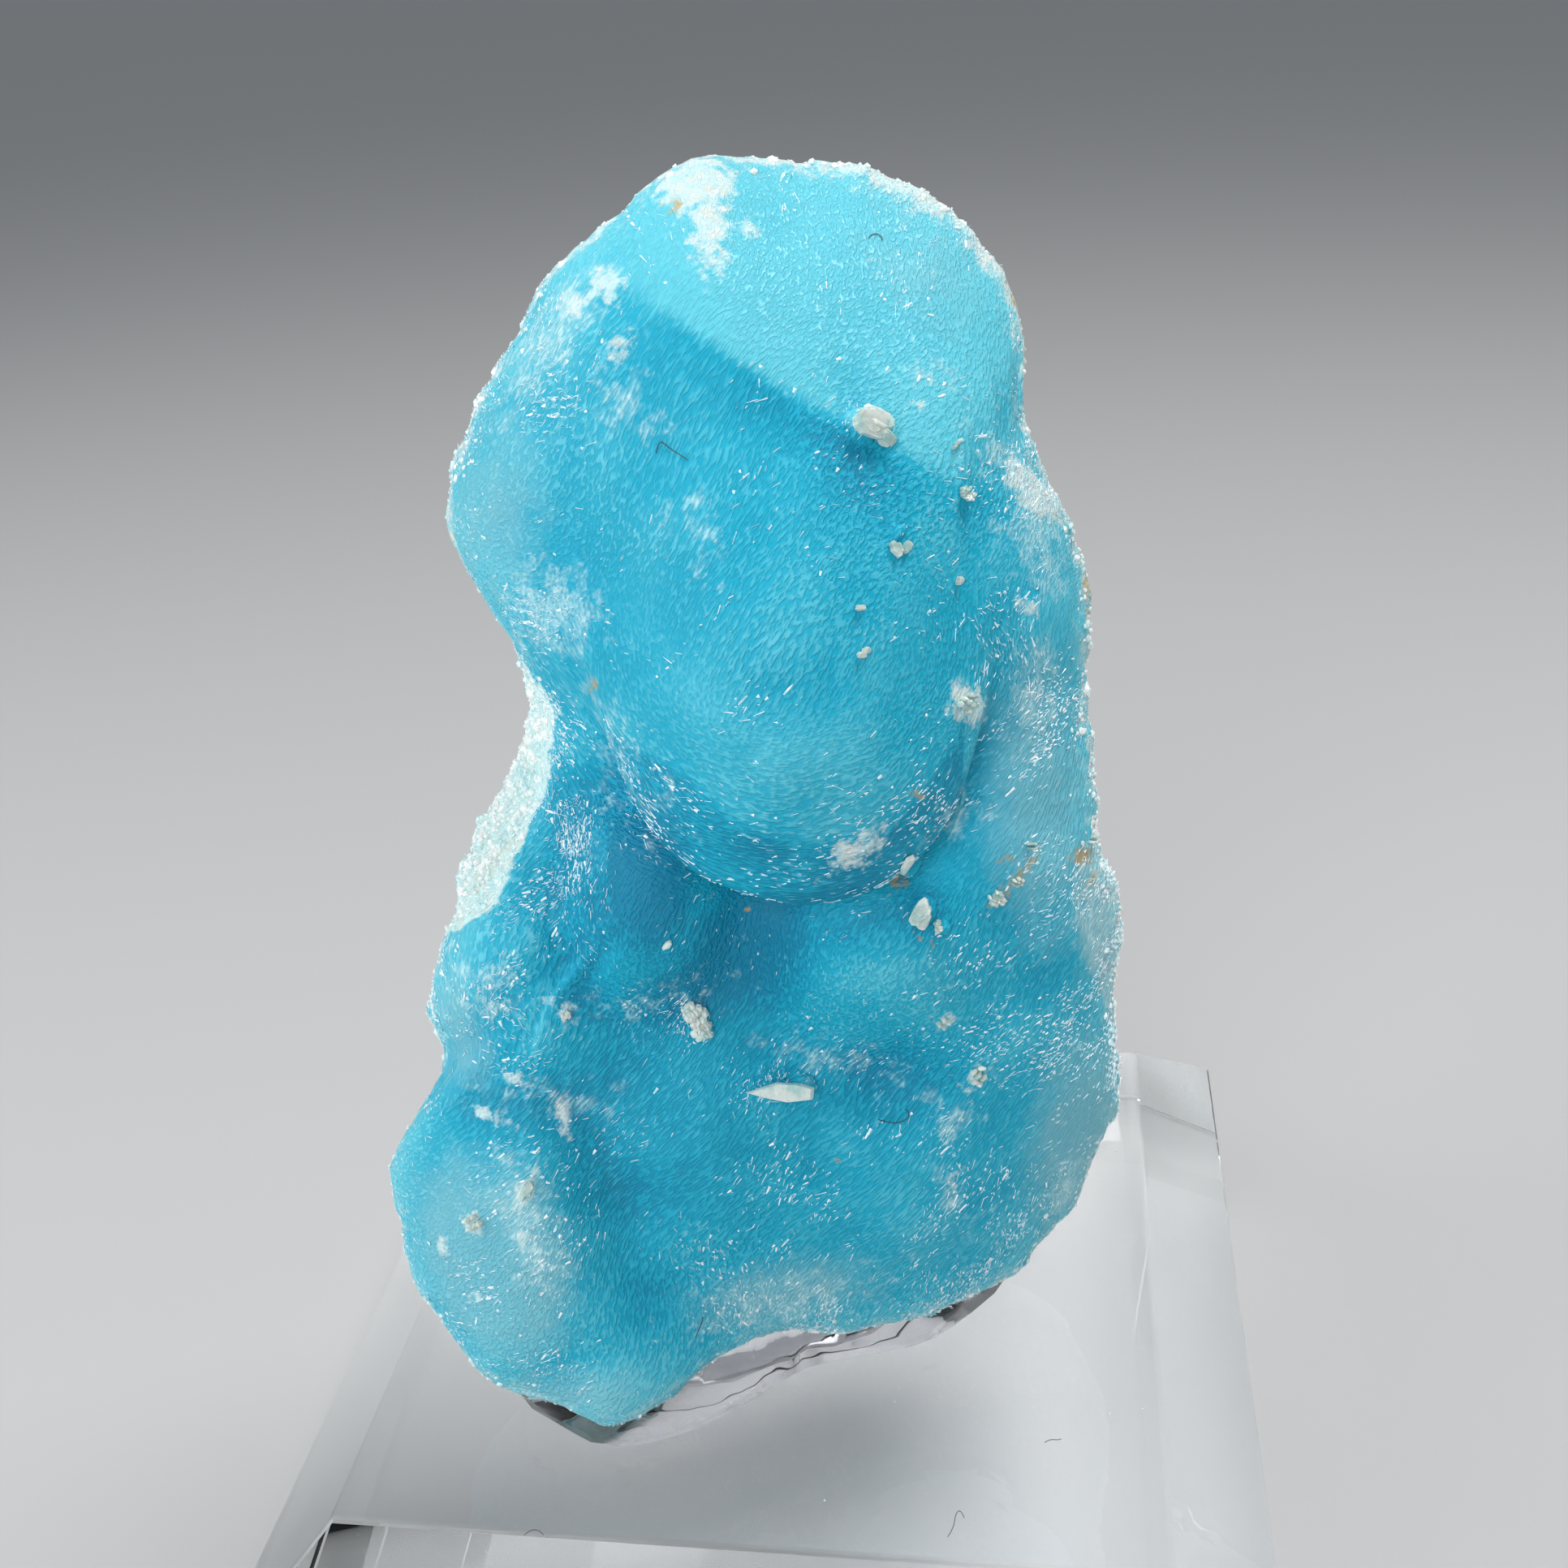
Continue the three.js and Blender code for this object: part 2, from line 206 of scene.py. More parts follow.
def place_group(graph: Graph, name: GroupName, inputs: dict) -> bpy.types.Node:
    """Places a built group in a material.

    Args:
        graph: The material's graph.
        name: The group's name.
        inputs: Values or sockets by input name.

    Returns:
        The group node.
    """
    made = graph.node("Group", node_tree=bpy.data.node_groups[name.value])
    for key, value in inputs.items():
        graph.fill(made.inputs[key], value)
    return made


def build_ragged_patch() -> None:
    """Builds the group that gives a soft field of the surface a ragged edge."""
    graph, start, end = new_group(
        GroupName.RAGGED,
        {"Place": "Vector", "Field": "Float", "Scale": "Float", "Reach": "Float", "Softness": "Float"},
        {"Mask": "Float"})
    grain = graph.node("TexNoise", {"Vector": start["Place"], "Scale": start["Scale"], "Detail": 4.0,
                                    "Roughness": 0.65}).outputs["Fac"]
    shift = graph.maths("MULTIPLY", graph.maths("SUBTRACT", grain, 0.5), start["Reach"])
    value = graph.maths("ADD", start["Field"], shift)
    graph.fill(end["Mask"], graph.maths("DIVIDE", value, start["Softness"], clamp=True))


def build_crystal_strokes() -> None:
    """Builds the group of short wavy strokes that run along a piece's strand coordinates, with a mask for
    painted glints on their crests.
    """
    graph, start, end = new_group(
        GroupName.STROKES,
        {"Strand": "Vector", "Across": "Float", "Detail": "Float"},
        {"Height": "Float", "PaintedGlint": "Float"})
    stroke = graph.node("TexNoise", {"Vector": start["Strand"], "Scale": start["Across"],
                                     "Detail": start["Detail"], "Roughness": 0.45}).outputs["Fac"]
    graph.fill(end["Height"], graph.spread(stroke, 0.36, 0.64))
    graph.fill(end["PaintedGlint"], graph.spread(stroke, 0.61, 0.66))


def build_fine_grit() -> None:
    """Builds the group of sugary grit that broken stone and crusts show."""
    graph, start, end = new_group(
        GroupName.GRIT, {"Place": "Vector", "Scale": "Float"}, {"Height": "Float", "Sparkle": "Float"})
    cell = graph.node("TexVoronoi", {"Vector": start["Place"], "Scale": start["Scale"]}, feature="F1")
    graph.fill(end["Height"], graph.maths("SUBTRACT", 1.0, cell.outputs["Distance"]))
    tone = graph.node("SeparateColor", {0: cell.outputs["Color"]}).outputs[0]
    graph.fill(end["Sparkle"], graph.spread(tone, 0.7, 0.95))


def new_material(name: str) -> tuple[bpy.types.Material, Graph, bpy.types.Node]:
    """Starts a material with one Principled shader.

    Args:
        name: The material's name.

    Returns:
        The material, its graph and its Principled node.
    """
    material = bpy.data.materials.new(name)
    material.use_nodes = True
    graph = Graph(material.node_tree)
    return material, graph, material.node_tree.nodes["Principled BSDF"]


@dataclass(frozen=True)
class Fray:
    """How a field of the skin shows.

    The ragged edge has lumps to the millimetre, wanders by reach and goes from none to full over
    softness, both in millimetres. The share is how much of the field's colour shows where it is full.
    """

    lumps: float
    reach: float
    softness: float
    share: float = 1.0


@dataclass(frozen=True)
class SkinFinish:
    """The specimen's translucent blue skin with its pale, broken and stained places, its painted light and
    shade, and its painted glints.
    """

    # The tone runs from deep to light; its lows and highs are partly painted shade and painted light.
    deep: tuple = (0.000, 0.240, 0.400, 1)
    middle: tuple = (0.003, 0.415, 0.600, 1)
    light: tuple = (0.130, 0.620, 0.750, 1)
    milk: tuple = (0.240, 0.560, 0.640, 1)
    # Frosted crystal colour, also used for the painted glints.
    frost_and_glint: tuple = (0.560, 0.820, 0.850, 1)
    chalk: tuple = (0.760, 0.830, 0.800, 1)
    crust: tuple = (0.640, 0.900, 0.850, 1)
    cream: tuple = (0.780, 0.720, 0.580, 1)
    rust: tuple = (0.580, 0.360, 0.100, 1)
    milk_fray: Fray = Fray(0.8, 2.8, 1.8, 0.62)
    frost_fray: Fray = Fray(1.1, 5.0, 1.2, 0.9)
    crust_fray: Fray = Fray(1.4, 1.6, 0.25)
    pale_fray: Fray = Fray(1.5, 2.8, 0.5, 0.9)
    rust_fray: Fray = Fray(1.8, 2.2, 0.35, 0.75)
    strokes_per_mm: float = 7.5
    stroke_tone: float = 0.25
    cloud_tone: float = 0.35
    # How strongly the painted glints show in the colour.
    painted_glint_share: float = 0.6
    grit_per_mm: float = 3.2
    roughness: float = 0.54
    stroke_polish: float = -0.14
    crust_roughness: float = 0.25
    relief_depth: float = 0.06 * MM
    ior: float = 1.36
    glow: float = 0.3
    glow_radius: tuple = (0.35, 0.9, 1.0)
    glow_depth: float = 0.7 * MM

    def make(self) -> bpy.types.Material:
        """Returns the skin's material."""
        material, graph, shader = new_material("hemimorphite_skin")
        place = graph.millimetres()
        stroke, painted_flash = self.strokes(graph)
        crust = self.mask(graph, place, "crust", self.crust_fray)
        colour = self.stone(graph, place, stroke)
        colour = self.growths(graph, place, colour, crust)
        # Painted glints: near-white strokes mixed into the base colour in clusters on the steep sugary
        # places.
        cluster = graph.spread(graph.mottle(place, 0.5, 3.0, 0.7), 0.50, 0.66)
        painted_glint = graph.maths("MULTIPLY", graph.maths("MULTIPLY", painted_flash, graph.attribute("sugar_and_painted_glint")), cluster)
        colour = graph.blend(graph.maths("MULTIPLY", painted_glint, self.painted_glint_share), colour, self.frost_and_glint)
        graph.fill(shader.inputs["Base Color"], colour)
        rough = graph.maths("MULTIPLY_ADD", stroke, self.stroke_polish, self.roughness)
        rough = graph.maths("MULTIPLY_ADD", crust, self.crust_roughness, rough)
        graph.fill(shader.inputs["Roughness"], rough)
        grit = place_group(graph, GroupName.GRIT, {"Place": place, "Scale": self.grit_per_mm})
        grains = graph.maths("MULTIPLY", grit.outputs["Height"], graph.attribute("coarse"))
        bump = graph.node("Bump", {"Strength": 0.9, "Distance": self.relief_depth,
                                   "Height": graph.maths("ADD", stroke, grains)})
        graph.fill(shader.inputs["Normal"], bump.outputs["Normal"])
        shader.inputs["IOR"].default_value = self.ior
        shader.inputs["Subsurface Weight"].default_value = self.glow
        shader.inputs["Subsurface Radius"].default_value = self.glow_radius
        shader.inputs["Subsurface Scale"].default_value = self.glow_depth
        return material

    def stone(self, graph: Graph, place: object, stroke: object) -> bpy.types.NodeSocket:
        """Colours the blue stone by its tone, which holds painted light and shade, with its milky and
        frosted places.

        Args:
            graph: The material's graph.
            place: Coordinates in millimetres.
            stroke: The strokes' height.

        Returns:
            The colour.
        """
        # The tone attribute holds painted light and shade besides the stone's own random tone.
        tone = graph.attribute("tone")
        for pattern, share in ((graph.mottle(place, 0.22, 4.0, 0.6), self.cloud_tone),
                               (stroke, self.stroke_tone)):
            swing = graph.maths("MULTIPLY", graph.maths("SUBTRACT", pattern, 0.5), share)
            tone = graph.maths("ADD", tone, swing)
        colour = graph.blend(graph.spread(tone, 0.0, 0.5), self.deep, self.middle)
        colour = graph.blend(graph.spread(tone, 0.4, 1.0), colour, self.light)
        colour = graph.blend(self.mask(graph, place, "milk", self.milk_fray), colour, self.milk)
        veil = self.mask(graph, place, "frost_and_glint", self.frost_fray)
        veil = graph.maths("MULTIPLY", veil, graph.maths("MULTIPLY_ADD", stroke, 0.7, 0.2))
        return graph.blend(veil, colour, self.frost_and_glint)

    def growths(self, graph: Graph, place: object, colour: object,
                crust: object) -> bpy.types.NodeSocket:
        """Lays the crust, the chalky grains and the rust over the stone's colour.

        Args:
            graph: The material's graph.
            place: Coordinates in millimetres.
            colour: The clean stone's colour.
            crust: The crust's mask.

        Returns:
            The colour.
        """
        crusty = graph.blend(graph.mottle(place, 1.3, 4.0, 0.7), self.crust, self.frost_and_glint)
        buff = graph.spread(graph.mottle(place, 0.3, 5.0, 0.65), 0.5, 0.72)
        crusty = graph.blend(graph.maths("MULTIPLY", buff, 0.5), crusty, self.cream)
        colour = graph.blend(crust, colour, crusty)
        powder = graph.spread(graph.mottle(place, 1.6, 5.0, 0.7), 0.35, 0.65)
        chalk = graph.blend(powder, self.frost_and_glint, self.chalk)
        chalk = graph.blend(graph.spread(graph.mottle(place, 0.8, 4.0, 0.6), 0.58, 0.75), chalk, self.cream)
        colour = graph.blend(self.mask(graph, place, "pale", self.pale_fray), colour, chalk)
        return graph.blend(self.mask(graph, place, "rust", self.rust_fray), colour, self.rust)

    def strokes(self, graph: Graph) -> tuple[bpy.types.NodeSocket, bpy.types.NodeSocket]:
        """Joins the straight strokes with the ones that curl round the bulb.

        Args:
            graph: The material's graph.

        Returns:
            The height of the strokes and their mask of painted glints.
        """
        straight, curled = (
            place_group(graph, GroupName.STROKES, {
                "Strand": graph.attribute(name, "Vector"), "Across": self.strokes_per_mm, "Detail": 2.0})
            for name in ("strand", "ring"))
        curl = graph.attribute("curl")
        height, painted_glint = (
            graph.node("Mix", {0: curl, 2: straight.outputs[key], 3: curled.outputs[key]}).outputs[0]
            for key in ("Height", "PaintedGlint"))
        return height, painted_glint

    def mask(self, graph: Graph, place: object, name: str, fray: Fray) -> bpy.types.NodeSocket:
        """Returns the ragged mask of one stored field of the skin.

        Args:
            graph: The material's graph.
            place: Coordinates in millimetres.
            name: The field's attribute.
            fray: How the field shows.

        Returns:
            The mask, from 0 to the field's share.
        """
        made = place_group(graph, GroupName.RAGGED, {
            "Place": place, "Field": graph.attribute(name), "Scale": fray.lumps, "Reach": fray.reach,
            "Softness": fray.softness})
        return graph.maths("MULTIPLY", made.outputs["Mask"], fray.share)


@dataclass(frozen=True)
class CrystalFinish:
    """Loose pale grains and glittering crystal edges."""

    name: str
    low: tuple
    high: tuple
    stain: tuple
    stained: float
    roughness: float
    glow: float
    lumps_per_mm: float = 1.1
    grit_per_mm: float = 4.5
    polish: float = -0.15
    relief_depth: float = 0.06 * MM
    ior: float = 1.61
    glow_radius: tuple = (0.8, 0.9, 1.0)
    glow_depth: float = 0.6 * MM

    def make(self) -> bpy.types.Material:
        """Returns the crystals' material."""
        material, graph, shader = new_material(self.name)
        place = graph.millimetres()
        grit = place_group(graph, GroupName.GRIT, {"Place": place, "Scale": self.grit_per_mm})
        lumps = graph.spread(graph.mottle(place, self.lumps_per_mm, 3.0), 0.3, 0.6)
        colour = graph.blend(lumps, self.low, self.high)
        stain = place_group(graph, GroupName.RAGGED, {
            "Place": place, "Field": self.stained - 0.5, "Scale": 0.9, "Reach": 1.4, "Softness": 0.3})
        colour = graph.blend(stain.outputs["Mask"], colour, self.stain)
        graph.fill(shader.inputs["Base Color"], colour)
        graph.fill(shader.inputs["Roughness"],
                   graph.maths("MULTIPLY_ADD", grit.outputs["Sparkle"], self.polish, self.roughness))
        bump = graph.node("Bump", {"Strength": 0.4, "Distance": self.relief_depth,
                                   "Height": grit.outputs["Height"]})
        graph.fill(shader.inputs["Normal"], bump.outputs["Normal"])
        shader.inputs["IOR"].default_value = self.ior
        shader.inputs["Subsurface Weight"].default_value = self.glow
        shader.inputs["Subsurface Radius"].default_value = self.glow_radius
        shader.inputs["Subsurface Scale"].default_value = self.glow_depth
        return material


@dataclass(frozen=True)
class ClearFinish:
    """A clear plastic that lets the lamps through, with faint handling marks."""

    name: str
    tint: tuple
    ior: float
    roughness: float
    waviness: float
    shade: tuple = (0.54, 0.55, 0.56, 1)

    def make(self) -> bpy.types.Material:
        """Returns the clear material."""
        material, graph, shader = new_material(self.name)
        place = graph.millimetres()
        marks = graph.mottle(place, 0.6, 5.0, 0.75)
        graph.fill(shader.inputs["Roughness"],
                   graph.maths("MULTIPLY_ADD", graph.spread(marks, 0.55, 0.8), 0.05, self.roughness))
        wave = graph.mottle(place, 0.35, 1.0)
        bump = graph.node("Bump", {"Strength": self.waviness, "Distance": 0.0004, "Height": wave})
        graph.fill(shader.inputs["Normal"], bump.outputs["Normal"])
        shader.inputs["Base Color"].default_value = self.tint
        shader.inputs["IOR"].default_value = self.ior
        shader.inputs["Transmission Weight"].default_value = 1.0
        path = graph.node("LightPath")
        clear = graph.node("BsdfTransparent", {"Color": self.shade})
        mixed = graph.node("MixShader", {0: path.outputs["Is Shadow Ray"], 1: shader.outputs[0],
                                         2: clear.outputs[0]})
        out = material.node_tree.nodes["Material Output"]
        graph.fill(out.inputs["Surface"], mixed.outputs[0])
        return material


@dataclass(frozen=True)
class MatteFinish:
    """A plain, nearly even matte surface."""

    name: str
    low: tuple
    high: tuple
    roughness: float
    scale: float

    def make(self) -> bpy.types.Material:
        """Returns the matte material."""
        material, graph, shader = new_material(self.name)
        place = graph.millimetres()
        patch = graph.mottle(place, self.scale, 3.0)
        graph.fill(shader.inputs["Base Color"], graph.blend(patch, self.low, self.high))
        graph.fill(shader.inputs["Roughness"],
                   graph.maths("MULTIPLY_ADD", patch, 0.08, self.roughness))
        return material


def new_piece(name: str, bm: bmesh.types.BMesh, material: bpy.types.Material,
              smooth: bool = True) -> bpy.types.Object:
    """Turns a bmesh into a dressed piece that rides on the body.

    Args:
        name: The piece's name.
        bm: Its shape in the row frame, which is freed.
        material: Its material.
        smooth: Whether it is shaded smooth.

    Returns:
        The piece.
    """
    mesh = bpy.data.meshes.new(name)
    bm.to_mesh(mesh)
    bm.free()
    if smooth:
        mesh.shade_smooth()
    else:
        mesh.shade_flat()
    mesh.materials.append(material)
    piece = bpy.data.objects.new(name, mesh)
    bpy.context.scene.collection.objects.link(piece)
    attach(piece, BODY)
    return piece


def scatter(shape: bmesh.types.BMesh, axes: np.ndarray, places: np.ndarray) -> bmesh.types.BMesh:
    """Repeats a small shape many times in one bmesh.

    Args:
        shape: The shape round its own origin, which is freed.
        axes: A 3 by 3 matrix for each copy, which turns and scales the shape's points.
        places: Where each copy's origin goes, in metres.

    Returns:
        The bmesh of all the copies.
    """
    points = np.array([v.co for v in shape.verts])
    faces = np.array([[v.index for v in f.verts] for f in shape.faces])
    shape.free()
    spots = np.einsum("kij,nj->kni", axes, points) + places[:, None, :]
    mesh = bpy.data.meshes.new("copies")
    numbers = faces[None] + (np.arange(len(places)) * len(points))[:, None, None]
    mesh.from_pydata(spots.reshape(-1, 3).tolist(), [], numbers.reshape(-1, faces.shape[1]).tolist())
    bm = bmesh.new()
    bm.from_mesh(mesh)
    bpy.data.meshes.remove(mesh)
    return bm


def random_turns(chance: np.random.Generator, count: int) -> np.ndarray:
    """Returns that many random rotation matrices."""
    turns, _ = np.linalg.qr(chance.normal(0, 1, (count, 3, 3)))
    return turns * np.sign(np.linalg.det(turns))[:, None, None]


@dataclass(frozen=True)
class Patch:
    """An oval place on the face, in face millimetres."""

    u: float
    v: float
    half_u: float
    half_v: float
    turn: float = 0.0
    weight: float = 1.0

    def field(self, points: np.ndarray) -> np.ndarray:
        """Returns about how many millimetres inside the oval each face point lies."""
        turn = math.radians(self.turn)
        du, dv = points[:, 0] - self.u, points[:, 1] - self.v
        along = (du * math.cos(turn) + dv * math.sin(turn)) / self.half_u
        up = (dv * math.cos(turn) - du * math.sin(turn)) / self.half_v
        return (1 - np.hypot(along, up)) * min(self.half_u, self.half_v)


def reach_of(patches: tuple[Patch, ...], points: np.ndarray) -> np.ndarray:
    """Returns the deepest field of several patches at each face point."""
    found = np.full(len(points), -9.0)
    for patch in patches:
        found = np.maximum(found, patch.field(points) * patch.weight)
    return found


# Ovals on the face: chalky, milky and frosted places, painted shade under the bulb and in hollows,
# glittering and rusty places.
PALE_PATCHES = (
    Patch(1.1, 56.0, 1.8, 1.6), Patch(1.6, 53.7, 1.0, 2.4), Patch(-2.8, 51.7, 0.9, 1.1),
    Patch(-2.4, 48.8, 0.6, 0.6), Patch(3.2, 53.6, 0.4, 0.6), Patch(-4.2, 51.0, 0.8, 0.9),
    Patch(10.9, 33.3, 1.0, 1.0, 20), Patch(5.8, 27.6, 1.5, 0.7, 30), Patch(14.0, 37.4, 0.5, 0.5),
    Patch(10.9, 16.2, 0.9, 0.5, 35), Patch(-7.5, 21.1, 0.8, 0.35, -35, 1.4),
    Patch(-9.9, 13.1, 0.4, 1.0, -20, 2), Patch(-12.4, 11.6, 0.5, 0.7, -15, 1.6),
    Patch(-10.2, 10.9, 0.35, 0.8, -25, 2), Patch(9.6, 19.3, 0.6, 0.35, 15), Patch(9.6, 45.6, 0.5, 0.3, 10),
    Patch(14.6, 42.3, 1.8, 0.9, -38, 2), Patch(-14.2, 10.4, 0.3, 0.8, -15, 2), Patch(9.5, 11.4, 0.5, 0.4),
    Patch(-11.2, 16.4, 1.1, 0.4, -30, 1.8), Patch(-8.0, 16.2, 0.35, 1.0, 5, 1.8),
    Patch(-10.0, 18.2, 1.0, 0.4, -15, 1.4), Patch(-12.8, 8.0, 0.3, 0.6, -20, 1.6),
)
MILKY_PATCHES = (
    Patch(-8.2, 43.0, 3.0, 5.0, -14, 0.6), Patch(-12.0, 9.6, 4.4, 6.0, 12), Patch(1.2, 6.2, 5.4, 2.4, 4),
    Patch(-12.6, 20.4, 2.0, 4.2, 10), Patch(14.2, 29.0, 3.0, 7.6), Patch(16.6, 12.0, 3.6, 7.0),
    Patch(-8.4, 2.4, 4.0, 2.2, -10), Patch(10.6, 51.4, 4.2, 2.6, -35, 0.4),
)
FROST_PATCHES = (
    Patch(-5.6, 49.6, 1.8, 3.4, -40), Patch(10.4, 47.0, 0.9, 0.9), Patch(-2.2, 46.4, 1.2, 1.8, 20),
    Patch(14.6, 40.6, 1.6, 3.0, 12), Patch(-9.8, 11.0, 1.4, 4.0, 12), Patch(-6.2, 38.6, 2.4, 2.0, 10),
    Patch(14.2, 33.6, 1.4, 2.4), Patch(16.0, 9.0, 1.2, 2.2), Patch(-4.2, 32.8, 1.0, 2.2, 30, 0.4),
    Patch(-3.6, 21.4, 2.4, 0.6, 8), Patch(4.4, 18.0, 2.6, 0.7, -20), Patch(9.8, 14.6, 1.4, 1.0),
    Patch(10.4, 28.6, 1.4, 0.9, 30), Patch(-8.6, 17.0, 2.4, 0.8, -10), Patch(-10.8, 22.4, 1.8, 1.4),
    Patch(0.4, 40.4, 0.9, 1.8, 20), Patch(9.6, 10.2, 1.0, 1.8, 15), Patch(14.0, 42.9, 2.4, 1.2, -38),
    Patch(1.2, 5.8, 4.4, 1.6, 4, 0.6),
)
PAINTED_SHADE_PATCHES = (
    Patch(0.6, 23.0, 6.4, 3.4, 12), Patch(-4.2, 26.6, 3.8, 6.4, 16), Patch(-2.6, 13.4, 4.4, 4.2, 0, 0.35),
    Patch(5.6, 24.2, 6.0, 2.4, 8), Patch(6.8, 14.6, 4.0, 2.0, -10, 0.4),
)
GLINT_PATCHES = (
    Patch(11.4, 46.0, 2.0, 1.1, -20), Patch(14.0, 42.8, 1.9, 1.0, -38), Patch(-1.4, 41.3, 0.8, 1.8, 12),
    Patch(7.0, 41.0, 1.0, 1.9, -5), Patch(-6.2, 28.6, 1.2, 3.0, 25), Patch(-2.6, 30.4, 1.2, 2.4, 35),
    Patch(3.0, 27.6, 3.6, 1.1, 4), Patch(8.6, 29.0, 1.8, 1.4, 40), Patch(-4.1, 21.2, 2.2, 1.0, 5),
    Patch(4.2, 18.0, 3.6, 1.0, -12), Patch(-8.2, 13.8, 1.0, 3.0), Patch(-2.2, 8.4, 1.8, 1.6),
    Patch(3.2, 11.2, 1.2, 1.6), Patch(11.4, 18.6, 2.2, 1.6, 30), Patch(14.4, 17.6, 1.4, 2.2),
    Patch(-5.8, 38.0, 2.2, 1.6), Patch(12.4, 36.0, 1.4, 2.4), Patch(-9.6, 19.0, 2.4, 1.2, 10),
    Patch(9.6, 13.0, 1.4, 1.8, 20), Patch(-5.0, 47.6, 1.6, 2.2, -30), Patch(-11.4, 13.6, 1.6, 2.6, -15),
    Patch(-12.6, 8.6, 1.4, 2.4, -15), Patch(-9.0, 8.6, 1.2, 2.0),
)
# Lines across the face as (u, v) corners: the top of the painted shade band round the bulb's underside, and
# the ridge.
BULB_SHADE_LINE = ((-4.8, 33.8), (-3.6, 33.2), (-2.3, 32.3), (-0.7, 31.2), (0.9, 29.5), (2.4, 28.7), (3.9, 28.3),
             (6.0, 28.3), (7.7, 29.0), (9.2, 30.6), (10.6, 32.6))
RIDGE = ((-2.4, 51.6), (-0.9, 50.2), (3.4, 46.7), (7.1, 44.1), (11.6, 42.3), (13.4, 41.8))
# Lines up the face as (v, u) corners: the crusted edge on the left, and the flaked one on the right.
CRUST_LEFT = ((24.6, -13.0), (25.9, -10.2), (30.8, -7.6), (34.6, -6.5), (37.4, -8.6))
FLAKE_RIGHT = ((12.6, 17.9), (17.1, 17.8), (19.7, 17.2), (21.6, 16.0), (24.4, 15.5), (26.4, 15.8),
               (28.2, 17.4))
RUST_PATCHES = (
    Patch(1.0, 25.1, 0.34, 0.22, 30, 5), Patch(7.6, 26.0, 0.6, 0.4, 40, 1.5),
    Patch(13.2, 25.9, 1.2, 0.25, 45, 1.6), Patch(12.3, 25.0, 0.5, 0.3, 45),
    Patch(16.3, 26.3, 0.8, 0.45, 10, 1.5), Patch(16.8, 25.2, 0.3, 0.4), Patch(9.1, 22.8, 0.3, 0.35),
    Patch(8.4, 23.5, 0.2, 0.25), Patch(14.6, 22.4, 0.25, 0.2), Patch(4.2, 12.7, 0.25, 0.2),
    Patch(14.5, 51.4, 0.35, 0.8), Patch(14.9, 49.2, 0.3, 0.5), Patch(17.2, 38.4, 0.35, 1.2),
    Patch(12.6, 26.6, 0.3, 0.2), Patch(8.4, 29.7, 0.25, 0.2), Patch(0.2, 54.9, 0.35, 0.4),
    Patch(-4.6, 35.2, 0.3, 0.4),
)


def ramp(values: np.ndarray, low: float, high: float) -> np.ndarray:
    """Returns 0 to 1 as the values go from low to high."""
    return np.clip((values - low) / (high - low), 0, 1)


def beyond_line(points: np.ndarray, line: tuple, side: int) -> np.ndarray:
    """Measures how far face points lie outside a broken edge that runs up the face.

    Args:
        points: Face points, one a row.
        line: The edge's (v, u) corners from the bottom.
        side: 1 where outside is towards +u, -1 towards -u.

    Returns:
        Millimetres outside the edge, and well below zero above and below its ends.
    """
    heights, places = zip(*line)
    outside = side * (points[:, 0] - np.interp(points[:, 1], heights, places))
    past = np.maximum(heights[0] - points[:, 1], points[:, 1] - heights[-1])
    return np.where(past > 0, -3 * past - 0.5, outside)


class SkinMesh:
    """The specimen's fine skin as arrays: what the fields of its surface are worked out from."""

    def __init__(self, bm: bmesh.types.BMesh) -> None:
        """Reads the places, normals and edges of a fine skin."""
        bm.verts.ensure_lookup_table()
        bm.normal_update()
        self.place = np.array([v.co for v in bm.verts])
        self.normal = np.array([v.normal for v in bm.verts])
        self.edges = np.array([[v.index for v in e.verts] for e in bm.edges])
        self.face_place = FACE.to_face(self.place)
        self.face_normal = FACE.turn_to_face(self.normal)
        self.count = len(self.place)

    def spread_out(self, values: np.ndarray, rounds: int) -> np.ndarray:
        """Averages values with their neighbours' a number of times.

        Args:
            values: One value or row of values for each vertex.
            rounds: How often they are averaged.

        Returns:
            The smoothed values.
        """
        low, high = self.edges.T
        share = np.bincount(self.edges.ravel(), minlength=self.count)
        columns = values.reshape(self.count, -1).T.copy()
        for _ in range(rounds):
            for i, column in enumerate(columns):
                total = (np.bincount(low, column[high], self.count)
                         + np.bincount(high, column[low], self.count))
                columns[i] = 0.5 * column + 0.5 * total / np.maximum(share, 1)
        return columns.T.reshape(values.shape)

    def hollowness(self, rounds: int) -> np.ndarray:
        """Returns how far below its smoothed surroundings each vertex lies, in millimetres."""
        smoothed = self.spread_out(self.place, rounds)
        return np.einsum("ij,ij->i", smoothed - self.place, self.normal) / MM

    def noise(self, scale: float, seed: float) -> np.ndarray:
        """Returns a noise from about -1 to 1 with that many lumps to the millimetre."""
        offset = Vector((seed, seed * 1.7, -seed))
        return np.array([noise.noise(Vector(p) * scale + offset) for p in self.place / MM])

    def granules(self, scale: float, seed: float) -> np.ndarray:
        """Returns rounded bumps from 0 to 1 with that many to the millimetre."""
        offset = Vector((seed, -seed, seed * 0.6))
        return np.array([1 - min(1.0, noise.voronoi(Vector(p) * scale + offset)[0][0])
                         for p in self.place / MM])


